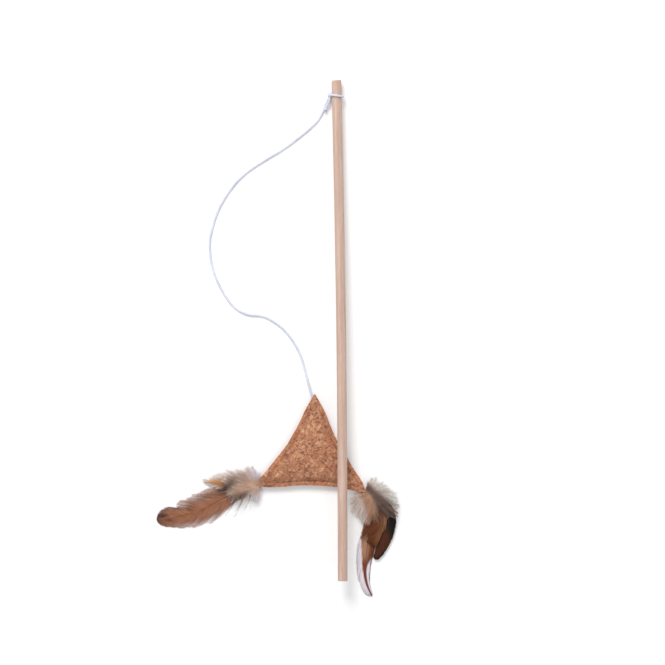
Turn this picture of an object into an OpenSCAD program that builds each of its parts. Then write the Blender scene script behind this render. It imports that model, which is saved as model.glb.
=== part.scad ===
// Cat teaser wand: a wooden rod, an elastic string tied round its far end, and
// a triangular cork-fabric toy with feathers set in its two lower corners.
// The wand lies on a flat surface with the rod resting over the toy.
// Origin: centre of the rod's grip end. +Y runs along the rod to the string
// end, +X to the right of it, +Z up from the surface.

/* [Rod] */
// Length of the wooden rod
rod_l = 410; // [300:5:520]
// Diameter of the rod
rod_d = 8; // [6:0.5:12]
// Broken edge at the rod's two sawn ends
rod_edge = 0.6; // [0.2:0.1:1.2]

/* [String] */
// Diameter of the round elastic string
string_d = 1.8; // [1.2:0.1:2.4]
// Distance from the rod's string end to the middle of the loop
loop_from_end = 13; // [8:1:30]
// Running clearance between the rod and the loop
loop_gap = 0.1; // [0.05:0.05:0.2]
// Diameter of the knot that closes the loop
knot_d = 3.8; // [3.4:0.1:4.6]
// Diameter of the knot inside the toy
end_knot_d = 3.2; // [2.8:0.1:3.6]
// Length of the short bend of string in front of the toy, pivot to pivot
bend_l = 5; // [4:0.5:8]
// Length of string that is held inside the toy
held_l = 14; // [12:0.5:16]
// Free gap at each place where the string bends
bend_gap = 0.3; // [0.2:0.05:0.4]

/* [Toy] */
// Lower edge of the triangle, corner to corner
toy_bottom = 89; // [80:1:100]
// Left edge of the triangle
toy_left = 88.5; // [80:1:100]
// Right edge of the triangle
toy_right = 90.5; // [80:1:100]
// How far the edges are drawn in between the corners
edge_draw = 3.4; // [0:0.1:5]
// Height of the seam between the two panels above the surface
seam_z = 4; // [3.5:0.1:5]
// Height of the front panel's crown above the seam
crown_h = 6; // [5:0.2:8]
// Depth to which the back panel would swell below the seam on no surface
back_h = 4.6; // [4.2:0.1:6]
// Thickness of the cork fabric
sheet_t = 0.8; // [0.5:0.1:1.2]
// Width of the flat bonded margin round the toy
margin_w = 3.5; // [2.5:0.5:5]
// Angle at which the toy lies, its lower edge against the X axis
toy_turn = -4.4; // [-12:0.1:8]
// Distance down the left edge from the tip to where the string goes in
entry_from_tip = 4; // [3:0.5:6]
// Least gap between the toy's highest point and the rod over it
rest_gap = 0.6; // [0.4:0.1:2]
// Gap between the filling and the panels
fill_gap = 0.5; // [0.4:0.1:1]

/* [Feathers] */
// Diameter of a quill
quill_d = 1; // [0.8:0.1:1.2]
// Length of quill held inside a corner of the toy
quill_in = 6; // [5:0.5:7]
// Thickness of a vane beside its shaft
vane_t = 0.8; // [0.6:0.1:1.2]
// Length of the long left feather outside the toy
left_long_l = 87; // [70:1:100]
// Half width of the long left feather's vane
left_long_w = 15; // [8:0.5:18]
// Length of the short left feather outside the toy
left_short_l = 45; // [35:1:55]
// Half width of the short left feather's vane
left_short_w = 11; // [7:0.5:14]
// Length of the left plume of down outside the toy
left_down_l = 30; // [22:1:36]
// Half width of the left plume of down
left_down_w = 15; // [10:0.5:20]
// Length of the white-edged right feather outside the toy
right_white_l = 87; // [70:1:95]
// Half width of the white-edged feather's vane
right_white_w = 7; // [5:0.5:10]
// Length of the dark right feather outside the toy
right_dark_l = 65; // [50:1:70]
// Half width of the dark feather's vane
right_dark_w = 8; // [5:0.5:10]
// Length of the short brown right feather outside the toy
right_brown_l = 46; // [30:1:50]
// Half width of the short brown feather's vane
right_brown_w = 9.5; // [5:0.5:12]
// Length of the right plume of down outside the toy
right_down_l = 34; // [28:1:44]
// Half width of the right plume of down
right_down_w = 20; // [12:0.5:22]
// Thickness of a plume of down
down_t = 3.6; // [2.5:0.1:4.5]

/* [Hidden] */
$fn = 48;

// Colours of the materials
wood = "#cdb2a5";
elastic = "#e6e4f0";
cork = "#b07a5a";
wadding = "#eceae4";
glue = "#e8dcb8";
brown_vane = "#a9765a";
dark_vane = "#4a352c";
white_vane = "#d9cdd0";
down_hair = "#b9a79d";

// Route of the free string in plan, from the centre of the loop's knot, with
// the share of the knot's height and the share of the seam's height at each point
string_route = [
    [-1, -2, 1, 0], [-2.5, -6, 0.6, 0], [-5, -11, 0.15, 0], [-10, -18.5, 0, 0],
    [-17, -27, 0, 0], [-25, -34.5, 0, 0], [-34, -41, 0, 0], [-43, -46, 0, 0],
    [-52, -50.5, 0, 0], [-60.5, -56.5, 0, 0], [-68, -62, 0, 0], [-75, -68, 0, 0],
    [-81, -74.5, 0, 0], [-86.5, -82, 0, 0], [-91, -89.5, 0, 0], [-95, -98, 0, 0],
    [-97.5, -106, 0, 0], [-99.5, -114.5, 0, 0], [-100, -122.5, 0, 0],
    [-99.5, -130.5, 0, 0], [-98, -139, 0, 0], [-95.5, -147, 0, 0], [-92, -155, 0, 0],
    [-87.5, -163, 0, 0], [-82, -170.5, 0, 0], [-75.5, -175.5, 0, 0],
    [-68.5, -178.5, 0, 0], [-61.5, -179, 0, 0], [-55, -180.5, 0, 0],
    [-48, -184.5, 0, 0], [-41, -190, 0, 0], [-35, -197, 0, 0], [-30, -205, 0, 0],
    [-26.5, -212.5, 0, 0.05], [-24, -221, 0, 0.25], [-22, -229.5, 0, 0.65],
    [-20.5, -235, 0, 0.95], [-19.5, -239, 0, 1]];
// Route of the string's cut end from the centre of the loop's knot
tail_route = [[0.2, -1.2, 1.13], [0.6, -3, 1.5], [-0.4, -6, 1.4], [-1.9, -9, 1.2],
    [-3, -11.5, 1.15]];

// Sizes of the string and its knots
string_r = string_d / 2;
string_sides = 8;
knot_r = knot_d / 2;
end_knot_r = end_knot_d / 2;
rod_r = rod_d / 2;
loop_r = rod_r + loop_gap + string_r;
knot_x = loop_r + string_r * 0.7;

// The triangle in its own plan, lower left corner at the origin
apex_x = (toy_bottom^2 + toy_left^2 - toy_right^2) / (2 * toy_bottom);
apex_y = sqrt(toy_left^2 - apex_x^2);
corner_l = [0, 0];
corner_r = [toy_bottom, 0];
corner_a = [apex_x, apex_y];
centroid = (corner_l + corner_r + corner_a) / 3;
area2 = toy_bottom * apex_y;
alt_l = area2 / toy_right;
alt_r = area2 / toy_left;
alt_a = apex_y;
in_bottom = [0, 1];
in_left = [apex_y, -apex_x] / toy_left;
in_right = [-apex_y, apex_x - toy_bottom] / toy_right;

// How far each edge is drawn in, as shares of edge_draw by share of the edge's length,
// from l to r, from l to a and from r to a. The edges stand out a little at the corners
bottom_edge_shares = [[0, 0], [0.09, -0.3], [0.24, 0.15], [0.4, 0.76], [0.6, 1], [0.74, 0.86],
    [0.84, 0.56], [0.94, 0], [1, 0]];
left_edge_shares = [[0, 0], [0.08, -0.2], [0.16, 0.14], [0.25, 0.38], [0.35, 0.68], [0.46, 1],
    [0.55, 0.88], [0.7, 0.67], [0.8, 0.24], [0.88, 0.1], [1, 0]];
right_edge_shares = [[0, 0], [0.05, -0.42], [0.1, -0.46], [0.17, -0.24], [0.24, 0], [0.4, 0.2],
    [0.55, 0.38], [0.62, 0.34], [0.7, 0.14], [0.78, -0.15], [0.85, -0.2], [1, 0]];

// Where the toy hangs: on the end of the string's route
route_n = len(string_route);
route_end = [string_route[route_n - 1].x, string_route[route_n - 1].y];
route_before = [string_route[route_n - 2].x, string_route[route_n - 2].y];
end_dir = (route_end - route_before) / norm(route_end - route_before);
pivot_gap = string_r + bend_gap;
swing_pivot = route_end + end_dir * pivot_gap;
flap_pivot = swing_pivot + end_dir * bend_l;
held_start = flap_pivot + end_dir * pivot_gap;
held_out = string_r;
entry = held_start + end_dir * held_out;
entry_share = 1 - entry_from_tip / toy_left;
entry_local = corner_a * entry_share + in_left * edge_draw * lookup(entry_share, left_edge_shares);

// Rest of the rod: on its loop at one end, clear of the toy's crown at the other
crown_top = seam_z + crown_h;
loop_z = loop_r + string_r;
crown_local = centroid - entry_local;
crown_dy = -(entry.y + crown_local.x * sin(toy_turn) + crown_local.y * cos(toy_turn));
rod_tilt = atan((crown_top + rest_gap + rod_r - loop_z) / crown_dy);
grip_run = rod_l - loop_from_end;
loop_y = grip_run * cos(rod_tilt);
grip_z = loop_z + grip_run * sin(rod_tilt);
knot_at = [-knot_x, loop_y, knot_r];

// Crown of the panels
crown_power = 0.85;
apex_fall_share = 0.27;
ring_shares = [0.97, 0.9, 0.78, 0.6, 0.4, 0.2];
side_steps = 16;
mouth_h = string_r + bend_gap;
quill_h = quill_d + 0.1 * quill_d;
knot_h = end_knot_r + 0.1 * end_knot_d;
knot_depth = entry_from_tip + held_l - held_out - end_knot_r;
corner_open = 2.4 * quill_in;
corner_close = 3.4 * quill_in;

function smooth(u) = u * u * (3 - 2 * u);
// Inward distance from the three margins taken together, 0 at any of them
function inside(d) = min(d) <= 0 ? 0 : 1 / norm([for (x = d) 1 / x]);
function margins(b) = [b[0] * alt_l, b[1] * alt_r, b[2] * alt_a] - margin_w * [1, 1, 1];
full_inside = inside(margins([1, 1, 1] / 3));
// Swell of the toy from 0 to 1 where b are the shares of the corners l, r and a
function swell(b) = let (u = 1 - min(1, inside(margins(b)) / full_inside))
    pow(1 - u * u, crown_power) * (1 - apex_fall_share * max(0, (b[2] - 1 / 3) * 3 / 2));
// Room left between a panel and the seam at the three corners
function apex_room(r) = lookup(r, [
    [0, mouth_h], [knot_depth - 3 * end_knot_r, mouth_h], [knot_depth - 2 * end_knot_r, knot_h],
    [knot_depth + 2 * end_knot_r, knot_h], [knot_depth + 7 * end_knot_r, 0]]);
function corner_room(r) = lookup(r, [[0, quill_h], [corner_open, quill_h], [corner_close, 0]]);
function flat_place(b) = b[0] * corner_l + b[1] * corner_r + b[2] * corner_a;
function room(b) = let (p = flat_place(b)) max(
    corner_room(norm(p - corner_l)), corner_room(norm(p - corner_r)),
    apex_room(norm(p - corner_a)));
// Draw of an edge at shares p and q of its two corners
function edge_in(p, q, shares) = p + q <= 0 ? 0
    : edge_draw * (p + q) * (p + q) * lookup(q / (p + q), shares);
function drawn(b) = flat_place(b)
    + in_bottom * edge_in(b[0], b[1], bottom_edge_shares)
    + in_left * edge_in(b[0], b[2], left_edge_shares)
    + in_right * edge_in(b[1], b[2], right_edge_shares);
function front_in(b) = max(room(b), (crown_h - sheet_t) * swell(b));
function back_in(b) = min(seam_z - sheet_t, max(room(b), (back_h - sheet_t) * swell(b)));

// Shares of the corners round the outline, from l to r to a, and towards the middle
ends = [[1, 0, 0], [0, 1, 0], [0, 0, 1]];
middle = [1, 1, 1] / 3;
function outline_share(k) = let (
    side = floor(k / side_steps),
    u = smooth(k / side_steps - side))
    ends[side] * (1 - u) + ends[(side + 1) % 3] * u;
function inward(b, f) = middle * (1 - f) + b * f;
inradius = alt_a / 3;
margin_share = 1 - margin_w / inradius;
panel_rings = concat([1, margin_share], [for (s = ring_shares) margin_share * s]);
ring_n = 3 * side_steps;
panel_grid = concat(
    [for (f = panel_rings) for (k = [0:ring_n - 1]) inward(outline_share(k), f)],
    [middle]);

// Outline of the filling, drawn away from the corners
fill_corner_share = 0.56;
fill_side_share = 0.78;
fill_rings = [1, 0.8, 0.55, 0.28];
function fill_reach(k) = let (u = smooth(k / side_steps - floor(k / side_steps)))
    fill_corner_share + (fill_side_share - fill_corner_share) * 4 * u * (1 - u);
fill_grid = concat(
    [for (f = fill_rings) for (k = [0:ring_n - 1]) inward(outline_share(k), f * fill_reach(k))],
    [middle]);

// Faces of a closed shell between an upper and a lower grid of the same rings
function shell_faces(rings) = let (n = ring_n, low = rings * n + 1) concat(
    [for (r = [0:rings - 2]) for (k = [0:n - 1]) each let (
        a = r * n + k, b = r * n + (k + 1) % n, c = a + n, d = b + n)
        [[a, c, d], [a, d, b], [low + a, low + d, low + c], [low + a, low + b, low + d]]],
    [for (k = [0:n - 1]) each let (
        a = (rings - 1) * n + k, b = (rings - 1) * n + (k + 1) % n, m = rings * n)
        [[a, m, b], [low + a, low + b, low + m]]],
    [for (k = [0:n - 1]) each let (a = k, b = (k + 1) % n)
        [[a, b, low + b], [a, low + b, low + a]]]);

module shell(grid, rings, top, bottom) {
    polyhedron(
        points = concat(
            [for (i = [0:len(grid) - 1]) [drawn(grid[i]).x, drawn(grid[i]).y, top[i]]],
            [for (i = [0:len(grid) - 1]) [drawn(grid[i]).x, drawn(grid[i]).y, bottom[i]]]),
        faces = shell_faces(rings), convexity = 4);
}

// Faces of a closed tube of rings with the same number of sides
function tube_faces(rings, sides) = concat(
    [[for (k = [sides - 1:-1:0]) k]],
    [for (r = [0:rings - 2]) for (k = [0:sides - 1]) each let (
        a = r * sides + k, b = r * sides + (k + 1) % sides)
        [[a, b, b + sides], [a, b + sides, a + sides]]],
    [[for (k = [0:sides - 1]) (rings - 1) * sides + k]]);

// One ring of a tube or plume: c its centre, heading its direction of travel in
// plan, wl and wr its half widths, t its thickness and cup the droop of its edges
function ring(c, heading, wl, wr, t, cup, sides) = [for (k = [0:sides - 1]) let (
    a = 360 * (k + 0.5) / sides, side = cos(a), w = side > 0 ? wr : wl)
    [c.x + sin(heading) * side * w, c.y - cos(heading) * side * w,
        c.z + sin(a) * t / 2 - cup * side * side]];

function heading_of(v) = atan2(v.y, v.x);

// A smooth curve through the points of a route, with one more point between each two
function between(p0, p1, p2, p3) = (9 * (p1 + p2) - p0 - p3) / 16;
function smoothed(p) = let (n = len(p)) concat(
    [for (i = [0:n - 2]) each [p[i],
        between(p[max(0, i - 1)], p[i], p[i + 1], p[min(n - 1, i + 2)])]],
    [p[n - 1]]);

module swept(points, r) {
    n = len(points);
    polyhedron(
        points = [for (i = [0:n - 1]) each ring(points[i],
            heading_of(points[min(n - 1, i + 1)] - points[max(0, i - 1)]),
            r, r, 2 * r, 0, string_sides)],
        faces = tube_faces(n, string_sides), convexity = 6);
}

string_points = smoothed([for (q = string_route) [q[0], q[1],
    string_r - knot_r + q[2] * (knot_r - string_r) + q[3] * (seam_z - string_r)]]);
tail_points = smoothed([for (q = tail_route) [q[0], q[1], (q[2] - 1) * knot_d]]);

// Frames: the surface under the wand, the rod, the knot and the toy
module on_surface() translate([0, 0, -grip_z]) children();
module on_rod() rotate([-90 - rod_tilt, 0, 0]) children();
module at_knot() on_surface() translate(knot_at) children();
module along_end(p) on_surface() translate([knot_at.x + p.x, knot_at.y + p.y, seam_z])
    rotate([0, 90, heading_of(end_dir)]) children();
module on_toy() on_surface() translate([knot_at.x + entry.x, knot_at.y + entry.y, seam_z])
    rotate([0, 0, toy_turn]) translate([-entry_local.x, -entry_local.y, 0]) children();

// Path of a feather: start, table of headings by share of length, length, heights
plume_steps = 18;
function plume_path(start, headings, l) = [for (i = 0, p = start; i <= plume_steps;
    p = p + l / plume_steps * [cos(lookup((i + 0.5) / plume_steps, headings)),
        sin(lookup((i + 0.5) / plume_steps, headings))], i = i + 1) p];

// A feather or tuft as one closed body. widths is a table of [share of length,
// share of w on the left, share of w on the right], heights of [share, height]
module plume(start, headings, l, w, widths, heights, t, cup) {
    path = plume_path(start, headings, l);
    left = [for (q = widths) [q[0], q[1]]];
    right = [for (q = widths) [q[0], q[2]]];
    least = quill_d / 2;
    polyhedron(
        points = [for (i = [0:plume_steps]) let (s = i / plume_steps)
            each ring([path[i].x, path[i].y, lookup(s, heights)],
                lookup(s, headings),
                max(least, w * lookup(s, left)), max(least, w * lookup(s, right)),
                w * lookup(s, right) > least ? t : quill_d,
                cup * max(lookup(s, left), lookup(s, right)), string_sides)],
        faces = tube_faces(plume_steps + 1, string_sides), convexity = 4);
}

module wand_rod() {
    color(wood) on_rod() rotate_extrude() polygon([
        [0, 0], [rod_r - rod_edge, 0], [rod_r, rod_edge],
        [rod_r, rod_l - rod_edge], [rod_r - rod_edge, rod_l], [0, rod_l]]);
}

module string_loop() {
    color(elastic) on_rod() translate([0, 0, grip_run])
        rotate_extrude() translate([loop_r, 0]) circle(r = string_r);
}

module string_knot() {
    color(elastic) at_knot() sphere(r = knot_r);
}

module string_tail() {
    color(elastic) at_knot() swept(tail_points, string_r);
}

module string() {
    color(elastic) at_knot() swept(string_points, string_r);
}

module string_bend() {
    color(elastic) {
        along_end(swing_pivot) cylinder(h = bend_l, r = string_r);
        along_end(swing_pivot) sphere(r = string_r);
        along_end(flap_pivot) sphere(r = string_r);
    }
}

module string_end_knot() {
    color(elastic) {
        along_end(held_start) cylinder(h = held_l - end_knot_r, r = string_r);
        along_end(held_start + end_dir * (held_l - end_knot_r)) sphere(r = end_knot_r);
    }
}

module front_panel() {
    color(cork) on_toy() shell(panel_grid, len(panel_rings),
        [for (b = panel_grid) front_in(b) + sheet_t], [for (b = panel_grid) front_in(b)]);
}

module back_panel() {
    color(cork) on_toy() shell(panel_grid, len(panel_rings),
        [for (b = panel_grid) -back_in(b)], [for (b = panel_grid) -back_in(b) - sheet_t]);
}

module filling() {
    color(wadding) on_toy() shell(fill_grid, len(fill_rings),
        [for (b = fill_grid) front_in(b) - fill_gap], [for (b = fill_grid) fill_gap - back_in(b)]);
}

// A wedge of glue in a corner: e1 and e2 are the directions of its two edges
glue_inset = 1;
glue_gap = 0.1;
module corner_wedge(corner, e1, e2, l, h) {
    bisector = (e1 + e2) / norm(e1 + e2);
    half = acos(e1 * bisector);
    tip = corner + bisector * glue_inset / sin(half);
    translate([0, 0, glue_gap - h]) linear_extrude(height = 2 * (h - glue_gap))
        polygon([tip, tip + e1 * l, tip + e2 * l]);
}

module apex_glue() {
    color(glue) difference() {
        on_toy() corner_wedge(corner_a, -to_apex, -right_up, quill_in, mouth_h);
        along_end(held_start) cylinder(h = held_l, r = string_r);
    }
}

module left_glue() {
    color(glue) difference() {
        on_toy() corner_wedge(corner_l, to_right, to_apex, glue_l, quill_h);
        left_long_feather();
        left_short_feather();
        left_down();
    }
}

module right_glue() {
    color(glue) difference() {
        on_toy() corner_wedge(corner_r, -to_right, right_up, glue_l, quill_h);
        right_white_feather();
        right_dark_feather();
        right_brown_feather();
        right_down();
    }
}

// Quills lie side by side in a low layer of the corner, the down's above them.
// Outside, the vanes lie over each other in layers from the surface up
glue_l = 1.3 * quill_in;
quill_pitch = 1.4 * quill_d;
quill_low = -0.55 * quill_d;
quill_high = 0.55 * quill_d;
vane_cup = vane_t / 2;
vane_gap = 0.3 * vane_t;
vane_pitch = vane_t + vane_cup + vane_gap;
function layer_z(n) = vane_t / 2 + vane_cup + vane_gap - seam_z + n * vane_pitch;
down_z = layer_z(2) + vane_t / 2 + vane_gap + down_t / 2;

// Directions of the toy's edges, and of the quills in its two lower corners
to_right = [1, 0];
to_apex = corner_a / toy_left;
right_up = (corner_a - corner_r) / toy_right;
pocket_l = heading_of(to_right + to_apex) - 180;
pocket_r = heading_of(right_up - to_right) - 180;

// A feather out of a corner: place is its quill's place in the corner in pitches to the
// right, turns a table of [share of length, degrees turned from the quill's direction]
module feather(corner, pocket, place, turns, l, w, width_shares, heights, t, cup) {
    along = [cos(pocket), sin(pocket)];
    across = [sin(pocket), -cos(pocket)];
    plume(corner - quill_in * along + place * quill_pitch * across,
        [for (q = turns) [q[0], pocket + q[1]]], l + quill_in, w, width_shares, heights, t, cup);
}

left_long_turns = [[0, 0], [0.07, 0], [0.14, -6], [0.35, -2], [0.52, 0], [0.66, -10], [0.8, -15],
    [1, -26]];
left_long_width_shares = [[0, 0, 0], [0.1, 0, 0], [0.2, 0.35, 0.5], [0.32, 0.5, 0.8],
    [0.42, 0.65, 1], [0.54, 0.78, 1.1], [0.67, 0.72, 0.98], [0.8, 0.58, 0.76], [0.93, 0.4, 0.55],
    [1, 0.1, 0.15]];
module left_long_feather() {
    color(brown_vane) on_toy() feather(corner_l, pocket_l, -0.5, left_long_turns,
        left_long_l, left_long_w, left_long_width_shares,
        [[0, quill_low], [0.07, quill_low], [0.14, layer_z(0)], [1, layer_z(0)]],
        vane_t, vane_cup);
}

left_short_turns = [[0, 0], [0.12, 0], [0.2, -26], [1, -29]];
left_short_width_shares = [[0, 0, 0], [0.16, 0, 0], [0.25, 0.6, 0.8], [0.37, 0.7, 0.95],
    [0.52, 0.8, 0.95], [0.62, 0.75, 0.8], [0.74, 0.6, 0.62], [0.83, 0.45, 0.45], [1, 0.1, 0.1]];
module left_short_feather() {
    color(brown_vane) on_toy() feather(corner_l, pocket_l, 0.5, left_short_turns,
        left_short_l, left_short_w, left_short_width_shares,
        [[0, quill_low], [0.2, quill_low], [0.45, layer_z(1)], [1, layer_z(1)]],
        vane_t, vane_cup);
}

left_down_turns = [[0, 0], [0.17, 0], [0.3, -6], [1, -10]];
left_down_width_shares = [[0, 0, 0], [0.17, 0, 0], [0.22, 0.75, 0.75], [0.5, 1, 0.95],
    [0.8, 0.8, 0.8], [1, 0.3, 0.3]];
module left_down() {
    color(down_hair) on_toy() feather(corner_l, pocket_l, 0, left_down_turns,
        left_down_l, left_down_w, left_down_width_shares,
        [[0, quill_high], [0.17, quill_high], [0.22, down_z], [1, down_z - vane_pitch]],
        down_t, 0);
}

right_white_turns = [[0, 0], [0.07, 0], [0.12, -40], [0.2, -56], [0.35, -60], [0.55, -61],
    [0.7, -57], [0.82, -47], [0.93, -31], [1, -22]];
right_white_width_shares = [[0, 0, 0], [0.1, 0, 0], [0.2, 0.5, 0.5], [0.36, 1, 0.7],
    [0.52, 1.1, 0.72], [0.66, 0.83, 0.92], [0.78, 0.47, 0.96], [0.88, 0.33, 0.8],
    [0.97, 0.2, 0.5], [1, 0.1, 0.1]];
module right_white_feather() {
    color(white_vane) on_toy() feather(corner_r, pocket_r, 1, right_white_turns,
        right_white_l, right_white_w, right_white_width_shares,
        [[0, quill_low], [0.07, quill_low], [0.13, layer_z(0)], [1, layer_z(0)]],
        vane_t, vane_cup);
}

right_dark_turns = [[0, 0], [0.13, -1], [0.23, -5], [0.35, -16], [0.46, -34], [0.56, -60],
    [0.69, -72], [0.82, -82], [1, -92]];
right_dark_width_shares = [[0, 0, 0], [0.14, 0, 0], [0.3, 0.5, 0.5], [0.45, 0.7, 0.75],
    [0.6, 0.72, 0.8], [0.75, 0.68, 0.75], [0.88, 0.6, 0.55], [0.97, 0.4, 0.3], [1, 0.1, 0.1]];
module right_dark_feather() {
    color(dark_vane) on_toy() feather(corner_r, pocket_r, -1, right_dark_turns,
        right_dark_l, right_dark_w, right_dark_width_shares,
        [[0, quill_low], [0.09, quill_low], [0.17, layer_z(1)], [1, layer_z(1)]],
        vane_t, vane_cup);
}

right_brown_turns = [[0, 0], [0.1, 0], [0.2, -20], [0.42, -32], [0.58, -54], [0.72, -73],
    [1, -85]];
right_brown_width_shares = [[0, 0, 0], [0.17, 0, 0], [0.3, 0.5, 0.6], [0.47, 0.8, 1],
    [0.7, 0.65, 1], [0.85, 0.5, 0.8], [0.95, 0.3, 0.5], [1, 0.1, 0.1]];
module right_brown_feather() {
    color(brown_vane) on_toy() feather(corner_r, pocket_r, 0, right_brown_turns,
        right_brown_l, right_brown_w, right_brown_width_shares,
        [[0, quill_low], [0.12, quill_low], [0.22, layer_z(2)], [1, layer_z(2)]],
        vane_t, vane_cup);
}

right_down_turns = [[0, 0], [0.18, 0], [0.3, -30], [0.5, -48], [1, -60]];
right_down_width_shares = [[0, 0, 0], [0.17, 0, 0], [0.22, 0.75, 0.35], [0.35, 0.9, 0.85],
    [0.5, 0.95, 1], [0.65, 0.95, 0.95], [0.8, 0.9, 0.75], [0.92, 0.7, 0.45], [1, 0.3, 0.3]];
module right_down() {
    color(down_hair) on_toy() feather(corner_r, pocket_r, 0, right_down_turns,
        right_down_l, right_down_w, right_down_width_shares,
        [[0, quill_high], [0.17, quill_high], [0.22, down_z], [1, down_z]],
        down_t, 0);
}

wand_rod();
string_loop();
string_knot();
string_tail();
string();
string_bend();
string_end_knot();
front_panel();
back_panel();
filling();
apex_glue();
left_glue();
right_glue();
left_long_feather();
left_short_feather();
left_down();
right_white_feather();
right_dark_feather();
right_brown_feather();
right_down();
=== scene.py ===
"""Looks of the cat teaser wand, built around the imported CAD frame.

Sizes are in millimetres until a mesh is made."""

import math

import bpy
import numpy as np
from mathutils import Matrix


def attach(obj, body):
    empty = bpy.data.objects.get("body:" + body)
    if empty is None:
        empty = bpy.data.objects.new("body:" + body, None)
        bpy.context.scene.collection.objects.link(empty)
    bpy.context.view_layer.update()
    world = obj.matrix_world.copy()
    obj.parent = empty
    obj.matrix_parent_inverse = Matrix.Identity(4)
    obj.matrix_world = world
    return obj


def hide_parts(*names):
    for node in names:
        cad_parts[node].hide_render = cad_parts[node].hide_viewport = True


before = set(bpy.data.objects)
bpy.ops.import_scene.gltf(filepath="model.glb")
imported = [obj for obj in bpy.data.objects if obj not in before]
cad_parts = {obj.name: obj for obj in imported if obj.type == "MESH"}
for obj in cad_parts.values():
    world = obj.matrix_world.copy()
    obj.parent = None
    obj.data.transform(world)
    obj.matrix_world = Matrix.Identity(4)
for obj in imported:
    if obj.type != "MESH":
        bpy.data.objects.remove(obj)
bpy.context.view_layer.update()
MM = 0.001

# Places and sizes of the CAD, repeated here because part.scad can't be read
ROD_L, ROD_R = 410.0, 4.0
ROD_TILT = math.radians(1.68732)
STRING_R = 0.9
KNOT_R = 1.9
KNOT = np.array([-5.63, 396.828, -15.6897])
SWING = np.array([-24.839, 156.664, -13.5897])
FLAP = np.array([-23.6263, 151.813, -13.5897])
ENTRY = np.array([-23.117, 149.776, -13.5897])
END_DIR = np.array([0.242536, -0.970143, 0.0])
FLOOR_Z = -17.5897
SEAM_H = 4.0
LOOP_RUN, LOOP_R = 397.0, 5.0

# The camera looks straight down, with the photograph's slight roll
PHOTO_ROLL = math.radians(0.7206)
CAMERA_PLACE = (-0.0057745, 0.20307, 3.0)
LENS, SENSOR_W = 198.9, 36.0
CLIP = (0.1, 50.0)


def placed(name, data):
    """A new object in the scene."""
    o = bpy.data.objects.new(name, data)
    bpy.context.scene.collection.objects.link(o)
    return o


camera = placed("camera", bpy.data.cameras.new("camera"))
camera.data.sensor_width = SENSOR_W
camera.data.lens = LENS
camera.data.clip_start, camera.data.clip_end = CLIP
camera.location = CAMERA_PLACE
camera.rotation_euler = (0.0, 0.0, -PHOTO_ROLL)
bpy.context.scene.camera = camera
bpy.context.scene.view_settings.view_transform = "Standard"


# Small mathematics

ROUNDING = (-0.03, -0.015, 0.0, 0.015, 0.03)
RIPPLE_WAVES = 9
CURVE_STEPS = 24


def ease(x, a=0.0, b=1.0):
    """Rises smoothly from 0 to 1 as x goes from a to b."""
    u = np.clip((np.asarray(x, float) - a) / (b - a), 0, 1)
    return u * u * (3 - 2 * u)


def lookup(table, x, k=1):
    """A table's column k at x."""
    return np.interp(x, [row[0] for row in table], [row[k] for row in table])


def column(table, x, k=1):
    """A table's column k at x, with its corners rounded."""
    return sum(lookup(table, np.asarray(x) + tap, k) for tap in ROUNDING) / len(ROUNDING)


def ripple(points, wavelength, seed):
    """Smooth noise of about that wavelength at an array of points, from -1 to 1."""
    r = np.random.default_rng(seed)
    total = np.zeros(points.shape[:-1])
    for _ in range(RIPPLE_WAVES):
        d = r.normal(size=points.shape[-1])
        d *= 2 * math.pi / wavelength * r.uniform(0.6, 1.5) / np.linalg.norm(d)
        total += np.cos(points @ d + r.uniform(0, 2 * math.pi))
    return total / math.sqrt(RIPPLE_WAVES) / 1.6


def unit(v):
    return v / np.maximum(np.linalg.norm(v, axis=-1, keepdims=True), 1e-12)


def colour(text):
    """A linear colour from its hexadecimal form."""
    c = np.array([int(text[i:i + 2], 16) / 255 for i in (0, 2, 4)])
    return np.where(c <= 0.04045, c / 12.92, ((c + 0.055) / 1.055) ** 2.4)


def rgba(shade):
    """A socket's colour, from a hexadecimal form or a grey."""
    return (*(colour(shade) if isinstance(shade, str) else [shade] * 3), 1.0)


def mixed(a, b, share):
    share = np.asarray(share)[..., None]
    return a * (1 - share) + b * share


def full_turn(n):
    """n even angles of a full turn."""
    return np.linspace(0, 2 * math.pi, n, endpoint=False)


def run_along(points):
    """The run from a line's first point to each of its points."""
    return np.concatenate([[0], np.cumsum(np.linalg.norm(np.diff(points, axis=0), axis=1))])


def smooth_line(points, step):
    """A cubic curve through the points, with points about a step apart."""
    p = np.asarray(points, float)
    ends = np.concatenate([[2 * p[0] - p[1]], p, [2 * p[-1] - p[-2]]])
    t = np.linspace(0, 1, CURVE_STEPS, endpoint=False)[:, None]
    out = []
    for i in range(len(p) - 1):
        a, b, c, d = ends[i:i + 4]
        out.append(0.5 * (2 * b + (c - a) * t + (2 * a - 5 * b + 4 * c - d) * t**2
                          + (3 * b - a - 3 * c + d) * t**3))
    fine = np.concatenate(out + [p[-1:]])
    run = run_along(fine)
    at = np.linspace(0, run[-1], max(2, int(round(run[-1] / step)) + 1))
    return np.stack([np.interp(at, run, axis) for axis in fine.T], 1)


# Making pieces

def fill_in(items, key, values, kind=np.float32):
    items.foreach_set(key, np.asarray(values, kind).ravel())


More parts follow.
